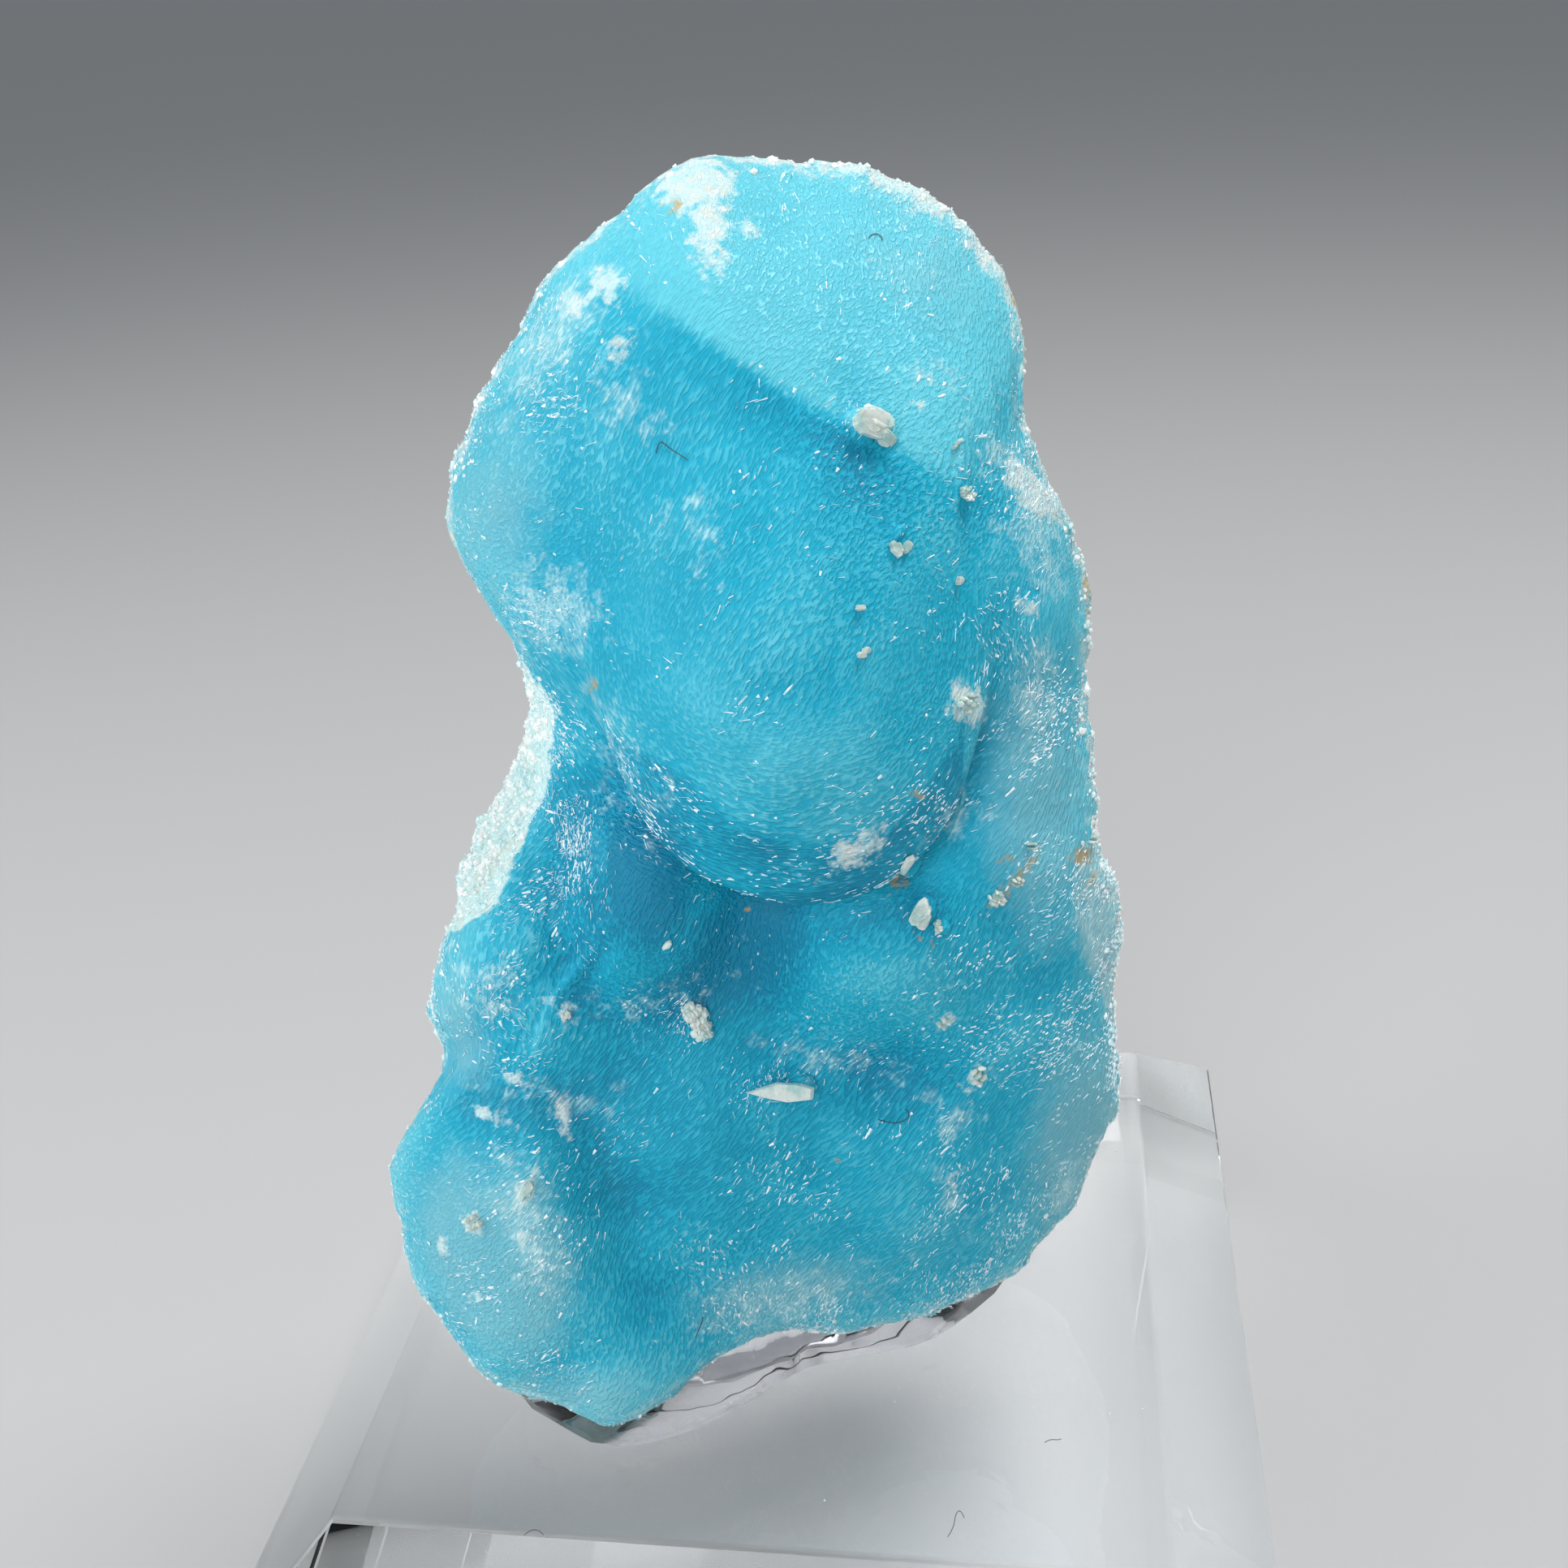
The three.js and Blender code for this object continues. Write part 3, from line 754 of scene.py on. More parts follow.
@dataclass(frozen=True)
class StoneTones:
    """How much painted light and shade each part of the stone's shape gives it, and over how many
    millimetres; cloud is random tone.
    """

    base: float = 0.45
    # Painted shade in hollows and painted light on swellings.
    painted_hollow_shade: float = 0.42
    hollow_depth: float = 0.5
    cloud: float = 0.12
    # Painted shade in the listed shade patches.
    deep: float = 0.40
    shade_patch_width: float = 2.0
    # Painted glow at the rim.
    rim: float = 0.40
    rim_width: float = 2.2
    # Painted light towards the top.
    top: float = 0.12
    # Painted light above the ridge and painted shade below it.
    painted_ridge_light: float = 0.3
    painted_ridge_shade: float = 0.34
    ridge_width: float = 0.9
    shade_fall: float = 3.0
    # Painted shade in a band round the bulb's underside.
    painted_bulb_shade: float = 0.36
    band_width: float = 0.5


@dataclass(frozen=True)
class GlintSizes:
    """Sizes of the short crystal edges, whose near-white colour is partly painted glints, in millimetres,
    and how they are strewn.
    """

    scatter: tuple[float, float] = (0.45, 0.7)
    wander: float = 0.34
    wide_share: float = 0.10
    wide: tuple[float, float] = (0.045, 0.10)
    narrow: tuple[float, float] = (0.011, 0.034)
    shortest: float = 0.08
    spread: float = 0.13
    longest: float = 0.55
    thickness: float = 0.02
    jitter: float = 0.1
    lift: float = 0.010


@dataclass
class Specimen:
    """The blue stone: its skin, glitter, grains and crusts."""

    node: str = "hemimorphite"
    cuts: int = 3
    smooth_rounds: int = 7
    glint_clusters: int = 2700
    rim_grains: int = 1500
    crust_grains: int = 700
    heart: tuple[float, float] = (0.5, 28.0)
    stroke_lean: float = 52.0
    stroke_stretch: float = 0.3
    stroke_wander: float = 2.6
    wander_per_mm: float = 0.10
    bulb_heart: tuple[float, float] = (3.6, 37.5)
    bulb_radius: float = 9.0
    curl_reach: tuple[float, float] = (3.0, 14.0)
    curl_turn: float = 2.0
    grain_size: tuple[float, float] = (0.06, 0.22)
    tones: StoneTones = StoneTones()
    glints: GlintSizes = GlintSizes()
    skin_finish: SkinFinish = field(default_factory=SkinFinish)
    # Real crystal edges whose near-white colour is partly painted glints.
    glint_finish: CrystalFinish = CrystalFinish(
        "crystal_edges_painted_glints", (0.34, 0.78, 0.90, 1), (0.94, 0.98, 1.0, 1), (0.8, 0.9, 0.9, 1), 0.0, 0.18, 0.0,
        lumps_per_mm=4.0)
    grain_finish: CrystalFinish = CrystalFinish(
        "pale_grains", (0.42, 0.66, 0.62, 1), (0.76, 0.84, 0.78, 1), (0.55, 0.36, 0.14, 1), 0.06, 0.35, 0.3)
    crust_finish: CrystalFinish = CrystalFinish(
        "pale_crust", (0.52, 0.84, 0.86, 1), (0.92, 0.96, 0.94, 1), (0.66, 0.50, 0.26, 1), 0.04, 0.4, 0.2)
    low: np.ndarray = field(init=False)
    high: np.ndarray = field(init=False)
    skin: SkinMesh = field(init=False)

    def build(self, nodes: dict[str, bpy.types.Object]) -> list[bpy.types.Object]:
        """Builds the stone's pieces.

        Args:
            nodes: The CAD nodes by name.

        Returns:
            The new pieces.
        """
        self.low, self.high = (np.array(corner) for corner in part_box(self.node))
        bm = bmesh.new()
        bm.from_mesh(nodes[self.node].data)
        bmesh.ops.remove_doubles(bm, verts=bm.verts, dist=WELD)
        bmesh.ops.subdivide_edges(bm, edges=bm.edges, cuts=self.cuts, use_grid_fill=True)
        for _ in range(self.smooth_rounds):
            bmesh.ops.smooth_vert(bm, verts=bm.verts, factor=0.5, use_axis_x=True, use_axis_y=True,
                                  use_axis_z=True)
        skin = SkinMesh(bm)
        fields = self.fields(skin)
        place = self.relief(skin, fields)
        for vertex, spot in zip(bm.verts, place):
            vertex.co = spot
        self.skin = skin = SkinMesh(bm)
        piece = new_piece("stone_skin", bm, self.skin_finish.make())
        self.store(piece.data, fields)
        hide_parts(self.node)
        return [piece, self.glitter(skin, fields), self.rim_crystals(skin, fields), self.grains(skin)]

    def fields(self, skin: SkinMesh) -> dict[str, np.ndarray]:
        """Works out the fields of the skin that its material and its crystals follow.

        Args:
            skin: The fine skin.

        Returns:
            The fields by attribute name.
        """
        spot, facing = skin.face_place, skin.face_normal[:, 2]
        away = self.rim_away(skin)
        front = ramp(facing, -0.25, 0.15)
        windows = np.clip(3 * skin.noise(0.16, 71.0) - 0.5, 0, 1)
        behind = -9.0 + 10.0 * (1 - front) - 1.15 * windows
        broken = beyond_line(spot, CRUST_LEFT, -1)
        flake = beyond_line(spot, FLAKE_RIGHT, 1) * 4
        top_right = ramp(spot[:, 0], 3, 9) * ramp(spot[:, 1], 40, 46)
        upper = ramp(spot[:, 1], 20, 45)
        chalky = 0.1 + 0.45 * upper + 0.4 * top_right - away
        frosty = np.maximum(reach_of(FROST_PATCHES, spot) * front * 0.8, 0.3 * flake)
        milky = np.maximum(reach_of(MILKY_PATCHES, spot) * front, 0.5 - away * 0.5)
        steep = np.clip(1 - facing, 0, 1)
        ring, curl = self.ring(skin)
        return {
            "tone": self.tone(skin, away),
            "milk": np.maximum(milky, flake),
            "frost_and_glint": np.maximum(frosty, 0.9 + 0.5 * top_right - away),
            "crust": np.maximum(np.where(facing > -0.2, broken, -1.0), behind),
            "pale": np.maximum(np.where(facing > -0.1, reach_of(PALE_PATCHES, spot), -1.0), chalky),
            "rust": np.where(facing > -0.2, reach_of(RUST_PATCHES, spot), 1.6 * skin.noise(0.2, 61.0) - 0.6),
            "sugar_and_painted_glint": np.clip(0.15 + 1.1 * steep + 0.9 * skin.noise(0.28, 8.0), 0, 1) * front,
            "coarse": np.clip(np.maximum(broken + 0.5, 1 - front) * 2 + ramp(away, 1.2, 0), 0, 2.5),
            "strand": self.strand(skin),
            "ring": ring,
            "curl": curl,
            "front": front,
        }

    def tone(self, skin: SkinMesh, away: np.ndarray) -> np.ndarray:
        """Works out how pale the blue is, with painted light and shade: painted light above the ridge, on
        swellings, towards the top and as a glow at the rim, and painted shade in hollows, in the shade
        patches, below the ridge and in a band under the bulb.

        Args:
            skin: The fine skin.
            away: How far inside the outline each vertex lies, in millimetres.

        Returns:
            The tone, about 0 where the blue is deepest and 1 where it is palest.
        """
        tones, spot = self.tones, skin.face_place
        # Painted shade in hollows and painted light on swellings, by how far each vertex lies below its
        # surroundings.
        painted_hollow_shade = np.clip(skin.hollowness(60) / tones.hollow_depth, -0.5, 1.2)
        tone = tones.base - tones.painted_hollow_shade * painted_hollow_shade + tones.cloud * skin.noise(0.35, 3.0)
        # Painted shade: darker in the listed patches under the bulb and in hollows.
        tone -= tones.deep * ramp(reach_of(PAINTED_SHADE_PATCHES, spot), 0, tones.shade_patch_width)
        # Painted glow at the rim and painted light towards the top.
        tone += tones.rim * np.exp(-away / tones.rim_width) + tones.top * ramp(spot[:, 1], 42, 50)
        # Painted light above the ridge and painted shade below it.
        above = spot[:, 1] - np.interp(spot[:, 0], *zip(*RIDGE))
        painted_lit = np.clip(above / tones.ridge_width + 0.5, 0, 1)
        painted_shade_under_ridge = tones.painted_ridge_shade * (1 - painted_lit) * np.exp(np.minimum(above, 0) / tones.shade_fall)
        painted_shade_under_ridge *= np.clip((11 - spot[:, 0]) / 4, 0.15, 1)
        near_ridge = np.clip(1.5 - np.abs(spot[:, 0] - 6.0) / 7, 0, 1) * (above > -12)
        tone += near_ridge * (tones.painted_ridge_light * painted_lit - painted_shade_under_ridge)
        # Painted shade in a band below the line round the bulb's underside.
        below_shade_line = np.interp(spot[:, 0], *zip(*BULB_SHADE_LINE), left=0, right=0) - spot[:, 1]
        return tone - tones.painted_bulb_shade * ramp(below_shade_line, 0, tones.band_width) * ramp(spot[:, 2], 13.2, 14.4)

    def rim_away(self, skin: SkinMesh) -> np.ndarray:
        """Returns how far inside the outline of the face each vertex lies, in millimetres."""
        from_heart = skin.face_place[:, :2] - np.array(self.heart)
        radius = np.hypot(*from_heart.T)
        turn = np.arctan2(from_heart[:, 1], from_heart[:, 0])
        steps = 360
        reach = np.zeros(steps)
        np.maximum.at(reach, ((turn + math.pi) / math.tau * steps).astype(int) % steps, radius)
        middles = (np.arange(steps) + 0.5) / steps * math.tau - math.pi
        return np.interp(turn, middles, reach, period=math.tau) - radius

    def strand(self, skin: SkinMesh) -> np.ndarray:
        """Works out coordinates whose first axis runs along the straight strokes.

        Args:
            skin: The fine skin.

        Returns:
            Along, across and outward coordinates in millimetres, with the first one shortened.
        """
        wander = [skin.noise(self.wander_per_mm, seed) for seed in (21.0, 33.0)]
        spot = skin.face_place + self.stroke_wander * np.stack([*wander, np.zeros(skin.count)], axis=1)
        lean = math.radians(self.stroke_lean)
        along = spot[:, 0] * math.cos(lean) + spot[:, 1] * math.sin(lean)
        across = spot[:, 1] * math.cos(lean) - spot[:, 0] * math.sin(lean)
        return np.stack([along * self.stroke_stretch, across, skin.face_place[:, 2]], axis=1)

    def ring(self, skin: SkinMesh) -> tuple[np.ndarray, np.ndarray]:
        """Works out coordinates whose first axis runs round the bulb, and where they count.

        Args:
            skin: The fine skin.

        Returns:
            The coordinates like the strand's, and their share from 0 to 1.
        """
        from_heart = skin.face_place[:, :2] - np.array(self.bulb_heart)
        radius = np.hypot(*from_heart.T)
        turn = np.arctan2(from_heart[:, 0], -from_heart[:, 1])
        wavy = radius + 0.6 * skin.noise(0.3, 37.0)
        nearest, furthest = self.curl_reach
        curl = ramp(radius, nearest, nearest + 4) * ramp(radius, furthest, furthest - 3)
        curl *= ramp(np.abs(turn), self.curl_turn, self.curl_turn - 0.6)
        around = turn * self.bulb_radius * self.stroke_stretch
        return np.stack([around, wavy, skin.face_place[:, 2]], axis=1), curl

    def across_strokes(self, skin: SkinMesh, fields: dict[str, np.ndarray]) -> np.ndarray:
        """Works out the direction across the strokes at each vertex.

        Args:
            skin: The fine skin.
            fields: The skin's fields.

        Returns:
            Unit directions in the row frame.
        """
        low, high = skin.edges.T
        found = []
        for name in ("strand", "ring"):
            rise = fields[name][high, 1] - fields[name][low, 1]
            step = rise[:, None] * (skin.place[high] - skin.place[low]) / MM ** 2
            columns = [np.bincount(low, c, skin.count) + np.bincount(high, c, skin.count) for c in step.T]
            found.append(skin.spread_out(np.stack(columns, axis=1), 2))
        same_way = np.sign(np.einsum("ij,ij->i", *found))[:, None]
        curl = fields["curl"][:, None]
        across = found[0] * (1 - curl) + found[1] * same_way * curl
        across -= skin.normal * np.einsum("ij,ij->i", across, skin.normal)[:, None]
        return across / np.maximum(np.linalg.norm(across, axis=1), 1e-9)[:, None]

    def relief(self, skin: SkinMesh, fields: dict[str, np.ndarray]) -> np.ndarray:
        """Moves the skin by its fine relief, inside the CAD node's box.

        Args:
            skin: The fine skin.
            fields: The skin's fields.

        Returns:
            The new places.
        """
        lift = 0.028 * skin.noise(0.9, 5.0) + 0.012 * skin.noise(2.2, 9.0)
        lift += 0.11 * np.clip(fields["coarse"], 0, 1.4) * (skin.granules(1.5, 2.0) - 0.5)
        lift += 0.08 * np.clip(fields["pale"] / 0.4, 0, 1)
        near_rim = np.exp(-self.rim_away(skin) / 0.9)
        lift += near_rim * (0.26 * skin.noise(0.75, 40.0) + 0.14 * skin.noise(1.9, 44.0))
        place = skin.place + skin.normal * lift[:, None] * MM
        return np.clip(place, self.low, self.high)

    def store(self, mesh: bpy.types.Mesh, fields: dict[str, np.ndarray]) -> None:
        """Stores the fields on the mesh as attributes."""
        for name, values in fields.items():
            vector = values.ndim == 2
            made = mesh.attributes.new(name, "FLOAT_VECTOR" if vector else "FLOAT", "POINT")
            made.data.foreach_set("vector" if vector else "value", values.astype(np.float32).ravel())

    def pick(self, skin: SkinMesh, density: np.ndarray, count: int, seed: int) -> np.ndarray:
        """Returns the numbers of randomly picked vertices, as likely as the density says."""
        chosen = np.random.default_rng(seed)
        density = np.clip(density, 0, None)
        return chosen.choice(skin.count, count, replace=False, p=density / density.sum())

    def inside(self, bm: bmesh.types.BMesh) -> None:
        """Pulls a piece's vertices into the CAD node's box."""
        for vertex in bm.verts:
            vertex.co = np.clip(vertex.co, self.low, self.high)

    def glitter(self, skin: SkinMesh, fields: dict[str, np.ndarray]) -> bpy.types.Object:
        """Builds the short crystal edges that lie along the strokes, coloured near-white, partly as painted
        glints.

        Args:
            skin: The fine skin.
            fields: The skin's fields.

        Returns:
            The piece.
        """
        chance = np.random.default_rng(7)
        patchy = np.clip(skin.noise(0.30, 14.0) + 0.8 * skin.noise(0.9, 4.0) + 0.2, 0.03, 1) ** 1.5
        density = (0.06 + 0.6 * fields["sugar_and_painted_glint"]) * patchy * (skin.face_normal[:, 2] > -0.1)
        density *= 1 + 2.5 * np.clip(fields["frost_and_glint"], 0, 1)
        density *= np.where(skin.face_place[:, 1] > np.interp(skin.face_place[:, 0], *zip(*RIDGE)), 0.3, 1)
        patch = np.clip(reach_of(GLINT_PATCHES, skin.face_place) / 0.8, 0, 1)
        density += 0.55 * patch * np.clip(0.7 + skin.noise(0.8, 18.0), 0.3, 1) * fields["front"]
        hearts = self.pick(skin, density, self.glint_clusters, 11)
        hearts = np.repeat(hearts, chance.integers(2, 10, len(hearts)))
        across = self.across_strokes(skin, fields)[hearts]
        along = np.cross(skin.normal[hearts], across)
        sizes = self.glints
        away = chance.normal(0, 1, (len(hearts), 2)) * sizes.scatter
        away = across * away[:, :1] + along * away[:, 1:]
        tree = KDTree(skin.count)
        for i, place in enumerate(skin.place):
            tree.insert(place, i)
        tree.balance()
        chosen = np.array([tree.find(Vector(p))[1] for p in skin.place[hearts] + away * MM])
        count = len(chosen)
        out = skin.normal[chosen]
        wander = chance.normal(0, sizes.wander, count)[:, None]
        across, along = (across * np.cos(wander) + along * np.sin(wander),
                         along * np.cos(wander) - across * np.sin(wander))
        wide = chance.random(count) < sizes.wide_share
        width = np.where(wide, chance.uniform(*sizes.wide, count), chance.uniform(*sizes.narrow, count))
        width = width[:, None] * MM
        length = (sizes.shortest + chance.exponential(sizes.spread, count)).clip(0, sizes.longest)
        axes = np.stack([across * width, out * sizes.thickness * MM, along * length[:, None] * MM], axis=2)
        blade = bmesh.new()
        bmesh.ops.create_cone(blade, cap_ends=True, segments=3, radius1=1, radius2=0.5, depth=1)
        bmesh.ops.triangulate(blade, faces=blade.faces)
        jitter = across * chance.uniform(-sizes.jitter, sizes.jitter, (count, 1)) * MM
        bm = scatter(blade, axes, skin.place[chosen] + jitter + out * sizes.lift * MM)
        self.inside(bm)
        return new_piece("crystal_edges_painted_glints", bm, self.glint_finish.make(), smooth=False)

    def rim_crystals(self, skin: SkinMesh, fields: dict[str, np.ndarray]) -> bpy.types.Object:
        """Builds the sugary grains along the broken rim and on the crusts.

        Args:
            skin: The fine skin.
            fields: The skin's fields.

        Returns:
            The piece.
        """
        chance = np.random.default_rng(19)
        rim = np.exp(-self.rim_away(skin) / 0.4) * (skin.face_normal[:, 2] > -0.3)
        rim *= np.clip(0.5 + skin.noise(0.5, 51.0) * 1.5, 0.05, 1)
        rim *= np.clip((skin.face_place[:, 1] - 10) / 30 + skin.face_place[:, 0] / 40, 0.3, 1)
        crust = np.clip(fields["crust"], 0, 1) * (skin.face_normal[:, 2] > 0)
        chosen = np.concatenate([self.pick(skin, rim, self.rim_grains, 3),
                                 self.pick(skin, crust, self.crust_grains, 5)])
        size = chance.uniform(*self.grain_size, len(chosen))[:, None, None] * MM
        turns = random_turns(chance, len(chosen)) * chance.uniform(0.5, 1.5, (len(chosen), 1, 3))
        grain = bmesh.new()
        bmesh.ops.create_icosphere(grain, subdivisions=1, radius=1)
        bm = scatter(grain, turns * size, skin.place[chosen] - skin.normal[chosen] * size[:, 0] * 0.5)
        self.inside(bm)
        return new_piece("rim_crystals", bm, self.crust_finish.make(), smooth=False)

    def grains(self, skin: SkinMesh) -> bpy.types.Object:
        """Builds the pale grains that sit on the face.

        Args:
            skin: The fine skin.

        Returns:
            The piece.
        """
        chance = np.random.default_rng(23)
        front = np.flatnonzero(skin.face_normal[:, 2] > 0.2)
        flat = skin.face_place[front, :2]
        bm = bmesh.new()
        for grain in GRAINS:
            for _ in range(grain.kind.parts):
                u, v, size = grain.part(chance)
                i = front[np.argmin(np.hypot(*(flat - (u, v)).T))]
                out = skin.face_normal[i]
                lean = math.radians(grain.turn) + chance.normal(0, 0.2)
                side = np.cross((-math.sin(lean), math.cos(lean), 0), out)
                axes = np.stack([side, np.cross(out, side), out])
                points = grain.kind.corners(chance)
                spots = skin.place[i] + FACE.turn_to_row((points * size + (0, 0, 0.1)) @ axes) * MM
                chip = [bm.verts.new(Vector(p)) for p in spots]
                bmesh.ops.convex_hull(bm, input=chip, use_existing_faces=False)
        bmesh.ops.delete(bm, geom=[v for v in bm.verts if not v.link_faces], context="VERTS")
        return new_piece("pale_grains", bm, self.grain_finish.make(), smooth=False)


class GrainKind(Enum):
    """How a grain on the face is made up."""

    CHIP = "chip"
    FLAKE = "flake"
    CLUSTER = "cluster"

    @property
    def parts(self) -> int:
        """Returns how many pieces the grain has."""
        return {GrainKind.CHIP: 1, GrainKind.FLAKE: 6, GrainKind.CLUSTER: 24}[self]

    @property
    def share(self) -> float:
        """Returns how large one piece is next to the grain."""
        return {GrainKind.CHIP: 1.0, GrainKind.FLAKE: 0.65, GrainKind.CLUSTER: 0.38}[self]

    def corners(self, chance: np.random.Generator) -> np.ndarray:
        """Picks the corners of one piece.

        Args:
            chance: The random numbers.

        Returns:
            Corners within about 1 of the middle: a plate's for chips and flakes, a lump's for clusters.
        """
        if self is GrainKind.CLUSTER:
            points = chance.normal(0, 1, (26, 3))
            return points * chance.uniform(0.8, 1.0, (26, 1)) / np.linalg.norm(points, axis=1)[:, None]
        turn = chance.uniform(0, math.tau, 16)
        radius = chance.uniform(0.85, 1.05, 16)
        rise = np.sign(np.sin(turn)) * np.sqrt(np.abs(np.sin(turn)))
        rim = np.stack([np.cos(turn) * radius, rise * radius], axis=1)
        if self is GrainKind.CHIP:
            rim[:, 1] *= np.clip(1 + rim[:, 0], 0.15, 1)
        top = np.column_stack([rim * 0.88, chance.uniform(0.6, 1.0, 16)])
        return np.concatenate([top, np.column_stack([rim, np.full(16, -0.4)])])


@dataclass(frozen=True)
class Grain:
    """A pale grain: its place and half sizes on the face, its turn and its kind."""

    u: float
    v: float
    half_u: float
    half_v: float
    turn: float
    kind: GrainKind

    def part(self, chance: np.random.Generator) -> tuple[float, float, np.ndarray]:
        """Picks one piece of the grain.

        Args:
            chance: The random numbers.

        Returns:
            The piece's place on the face and its half sizes.
        """
        share = self.kind.share
        thick = 0.26 if self.kind is GrainKind.CLUSTER else 0.17
        angle, reach = chance.uniform(0, math.tau), math.sqrt(chance.uniform(0, 1)) * (1 - share)
        along, up = reach * math.cos(angle) * self.half_u, reach * math.sin(angle) * self.half_v
        turn = math.radians(self.turn)
        size = np.array([self.half_u * share, self.half_v * share, thick]) * chance.uniform(0.8, 1.15, 3)
        return (self.u + along * math.cos(turn) - up * math.sin(turn),
                self.v + along * math.sin(turn) + up * math.cos(turn), size)


GRAINS = (
    Grain(7.6, 44.7, 1.15, 0.85, -25, GrainKind.FLAKE), Grain(8.2, 44.0, 0.5, 0.5, -30, GrainKind.FLAKE),
    Grain(11.3, 41.9, 0.4, 0.32, 0, GrainKind.CLUSTER), Grain(8.1, 39.5, 0.25, 0.4, 30, GrainKind.FLAKE),
    Grain(8.5, 39.6, 0.25, 0.4, -35, GrainKind.FLAKE), Grain(7.9, 26.9, 1.0, 0.5, 65, GrainKind.CHIP),
    Grain(8.5, 24.5, 0.6, 0.85, -30, GrainKind.FLAKE), Grain(9.3, 23.9, 0.3, 0.35, 10, GrainKind.CLUSTER),
    Grain(-1.7, 20.5, 0.6, 0.7, 15, GrainKind.CLUSTER), Grain(-1.4, 19.7, 0.6, 0.6, 50, GrainKind.CLUSTER),
    Grain(1.9, 16.6, 1.45, 0.55, 4, GrainKind.CHIP), Grain(12.1, 24.8, 0.4, 0.5, 45, GrainKind.CLUSTER),
    Grain(11.0, 43.9, 0.3, 0.25, 20, GrainKind.CLUSTER), Grain(-7.4, 20.9, 0.22, 0.3, 0, GrainKind.FLAKE),
    Grain(-9.9, 13.1, 0.25, 0.6, -20, GrainKind.FLAKE), Grain(10.6, 38.4, 0.2, 0.3, -30, GrainKind.FLAKE),
    Grain(6.5, 37.3, 0.3, 0.18, 0, GrainKind.FLAKE), Grain(6.5, 35.5, 0.28, 0.2, 10, GrainKind.FLAKE),
    Grain(13.7, 27.1, 0.3, 0.2, 0, GrainKind.CLUSTER), Grain(13.0, 25.5, 0.3, 0.2, 30, GrainKind.CLUSTER),
    Grain(16.9, 27.0, 0.3, 0.2, 10, GrainKind.CLUSTER), Grain(11.0, 16.4, 0.6, 0.35, 35, GrainKind.CLUSTER),
    Grain(9.5, 19.3, 0.4, 0.25, 15, GrainKind.CLUSTER), Grain(10.9, 33.4, 0.5, 0.4, 20, GrainKind.CLUSTER),
    Grain(-12.4, 11.6, 0.45, 0.4, 0, GrainKind.CLUSTER), Grain(-2.6, 24.0, 0.35, 0.15, 20, GrainKind.CHIP),
)


@dataclass
class Tack:
    """The clear mineral tack that the stone stands in."""

    node: str = "mineral_tack"
    reach: float = 0.6 * MM
    fill: float = 0.45 * MM
    sunk: float = 0.08 * MM
    finish: ClearFinish = ClearFinish("clear_tack", (0.97, 0.965, 1.0, 1), 1.28, 0.02, 0.6)

    def build(self, nodes: dict[str, bpy.types.Object], stone: bpy.types.Object) -> bpy.types.Object:
        """Builds the tack, pressed into the stone.

        Args:
            nodes: The CAD nodes by name.
            stone: The CAD node of the stone.

        Returns:
            The piece.
        """
        bm = bmesh.new()
        bm.from_mesh(nodes[self.node].data)
        bmesh.ops.remove_doubles(bm, verts=bm.verts, dist=WELD)
        bmesh.ops.recalc_face_normals(bm, faces=bm.faces)
        body = BVHTree.FromPolygons([v.co for v in stone.data.vertices],
                                    [p.vertices for p in stone.data.polygons])
        bm.normal_update()
        for vertex in bm.verts:
            spot, _, _, away = body.find_nearest(vertex.co)
            if away < self.reach:
                vertex.co += (spot - vertex.co).normalized() * self.fill
        low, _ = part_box(self.node)
        for vertex in bm.verts:
            if vertex.co.z < low.z + self.sunk:
                vertex.co.z = low.z - self.sunk
        piece = new_piece("tack_bed", bm, self.finish.make())
        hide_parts(self.node)
        return piece


@dataclass
class Block:
    """The clear acrylic block with its bevelled top."""

    node: str = "acrylic_base"
    width: float = 50 * MM
    bevel_inset: float = 5.3 * MM
    bevel_height: float = 5 * MM
    edge: float = 0.18 * MM
    finish: ClearFinish = ClearFinish("clear_acrylic", (0.985, 0.992, 0.995, 1), 1.49, 0.0, 0.0)

    def build(self) -> bpy.types.Object:
        """Returns the block, with its corners eased."""
        low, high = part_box(self.node)
        straight = high.z - low.z - self.bevel_height
        bm = bmesh.new()
        bmesh.ops.create_cube(bm, size=1.0)
        bmesh.ops.scale(bm, verts=bm.verts, vec=(self.width, self.width, straight))
        bmesh.ops.translate(bm, verts=bm.verts, vec=(0, 0, low.z + straight / 2))
        top = max(bm.faces, key=lambda f: f.calc_center_median().z)
        risen = bmesh.ops.extrude_discrete_faces(bm, faces=[top])["faces"][0]
        bmesh.ops.translate(bm, verts=risen.verts, vec=(0, 0, self.bevel_height))
        inset = 1 - 2 * self.bevel_inset / self.width
        bmesh.ops.scale(bm, verts=risen.verts, vec=(inset, inset, 1))
        bmesh.ops.bevel(bm, geom=bm.edges, affect="EDGES", offset=self.edge, offset_type="OFFSET",
                        segments=2, profile=0.5, material=-1)
        bmesh.ops.recalc_face_normals(bm, faces=bm.faces)
        piece = new_piece("acrylic_block", bm, self.finish.make(), smooth=False)
        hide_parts(self.node)
        return piece


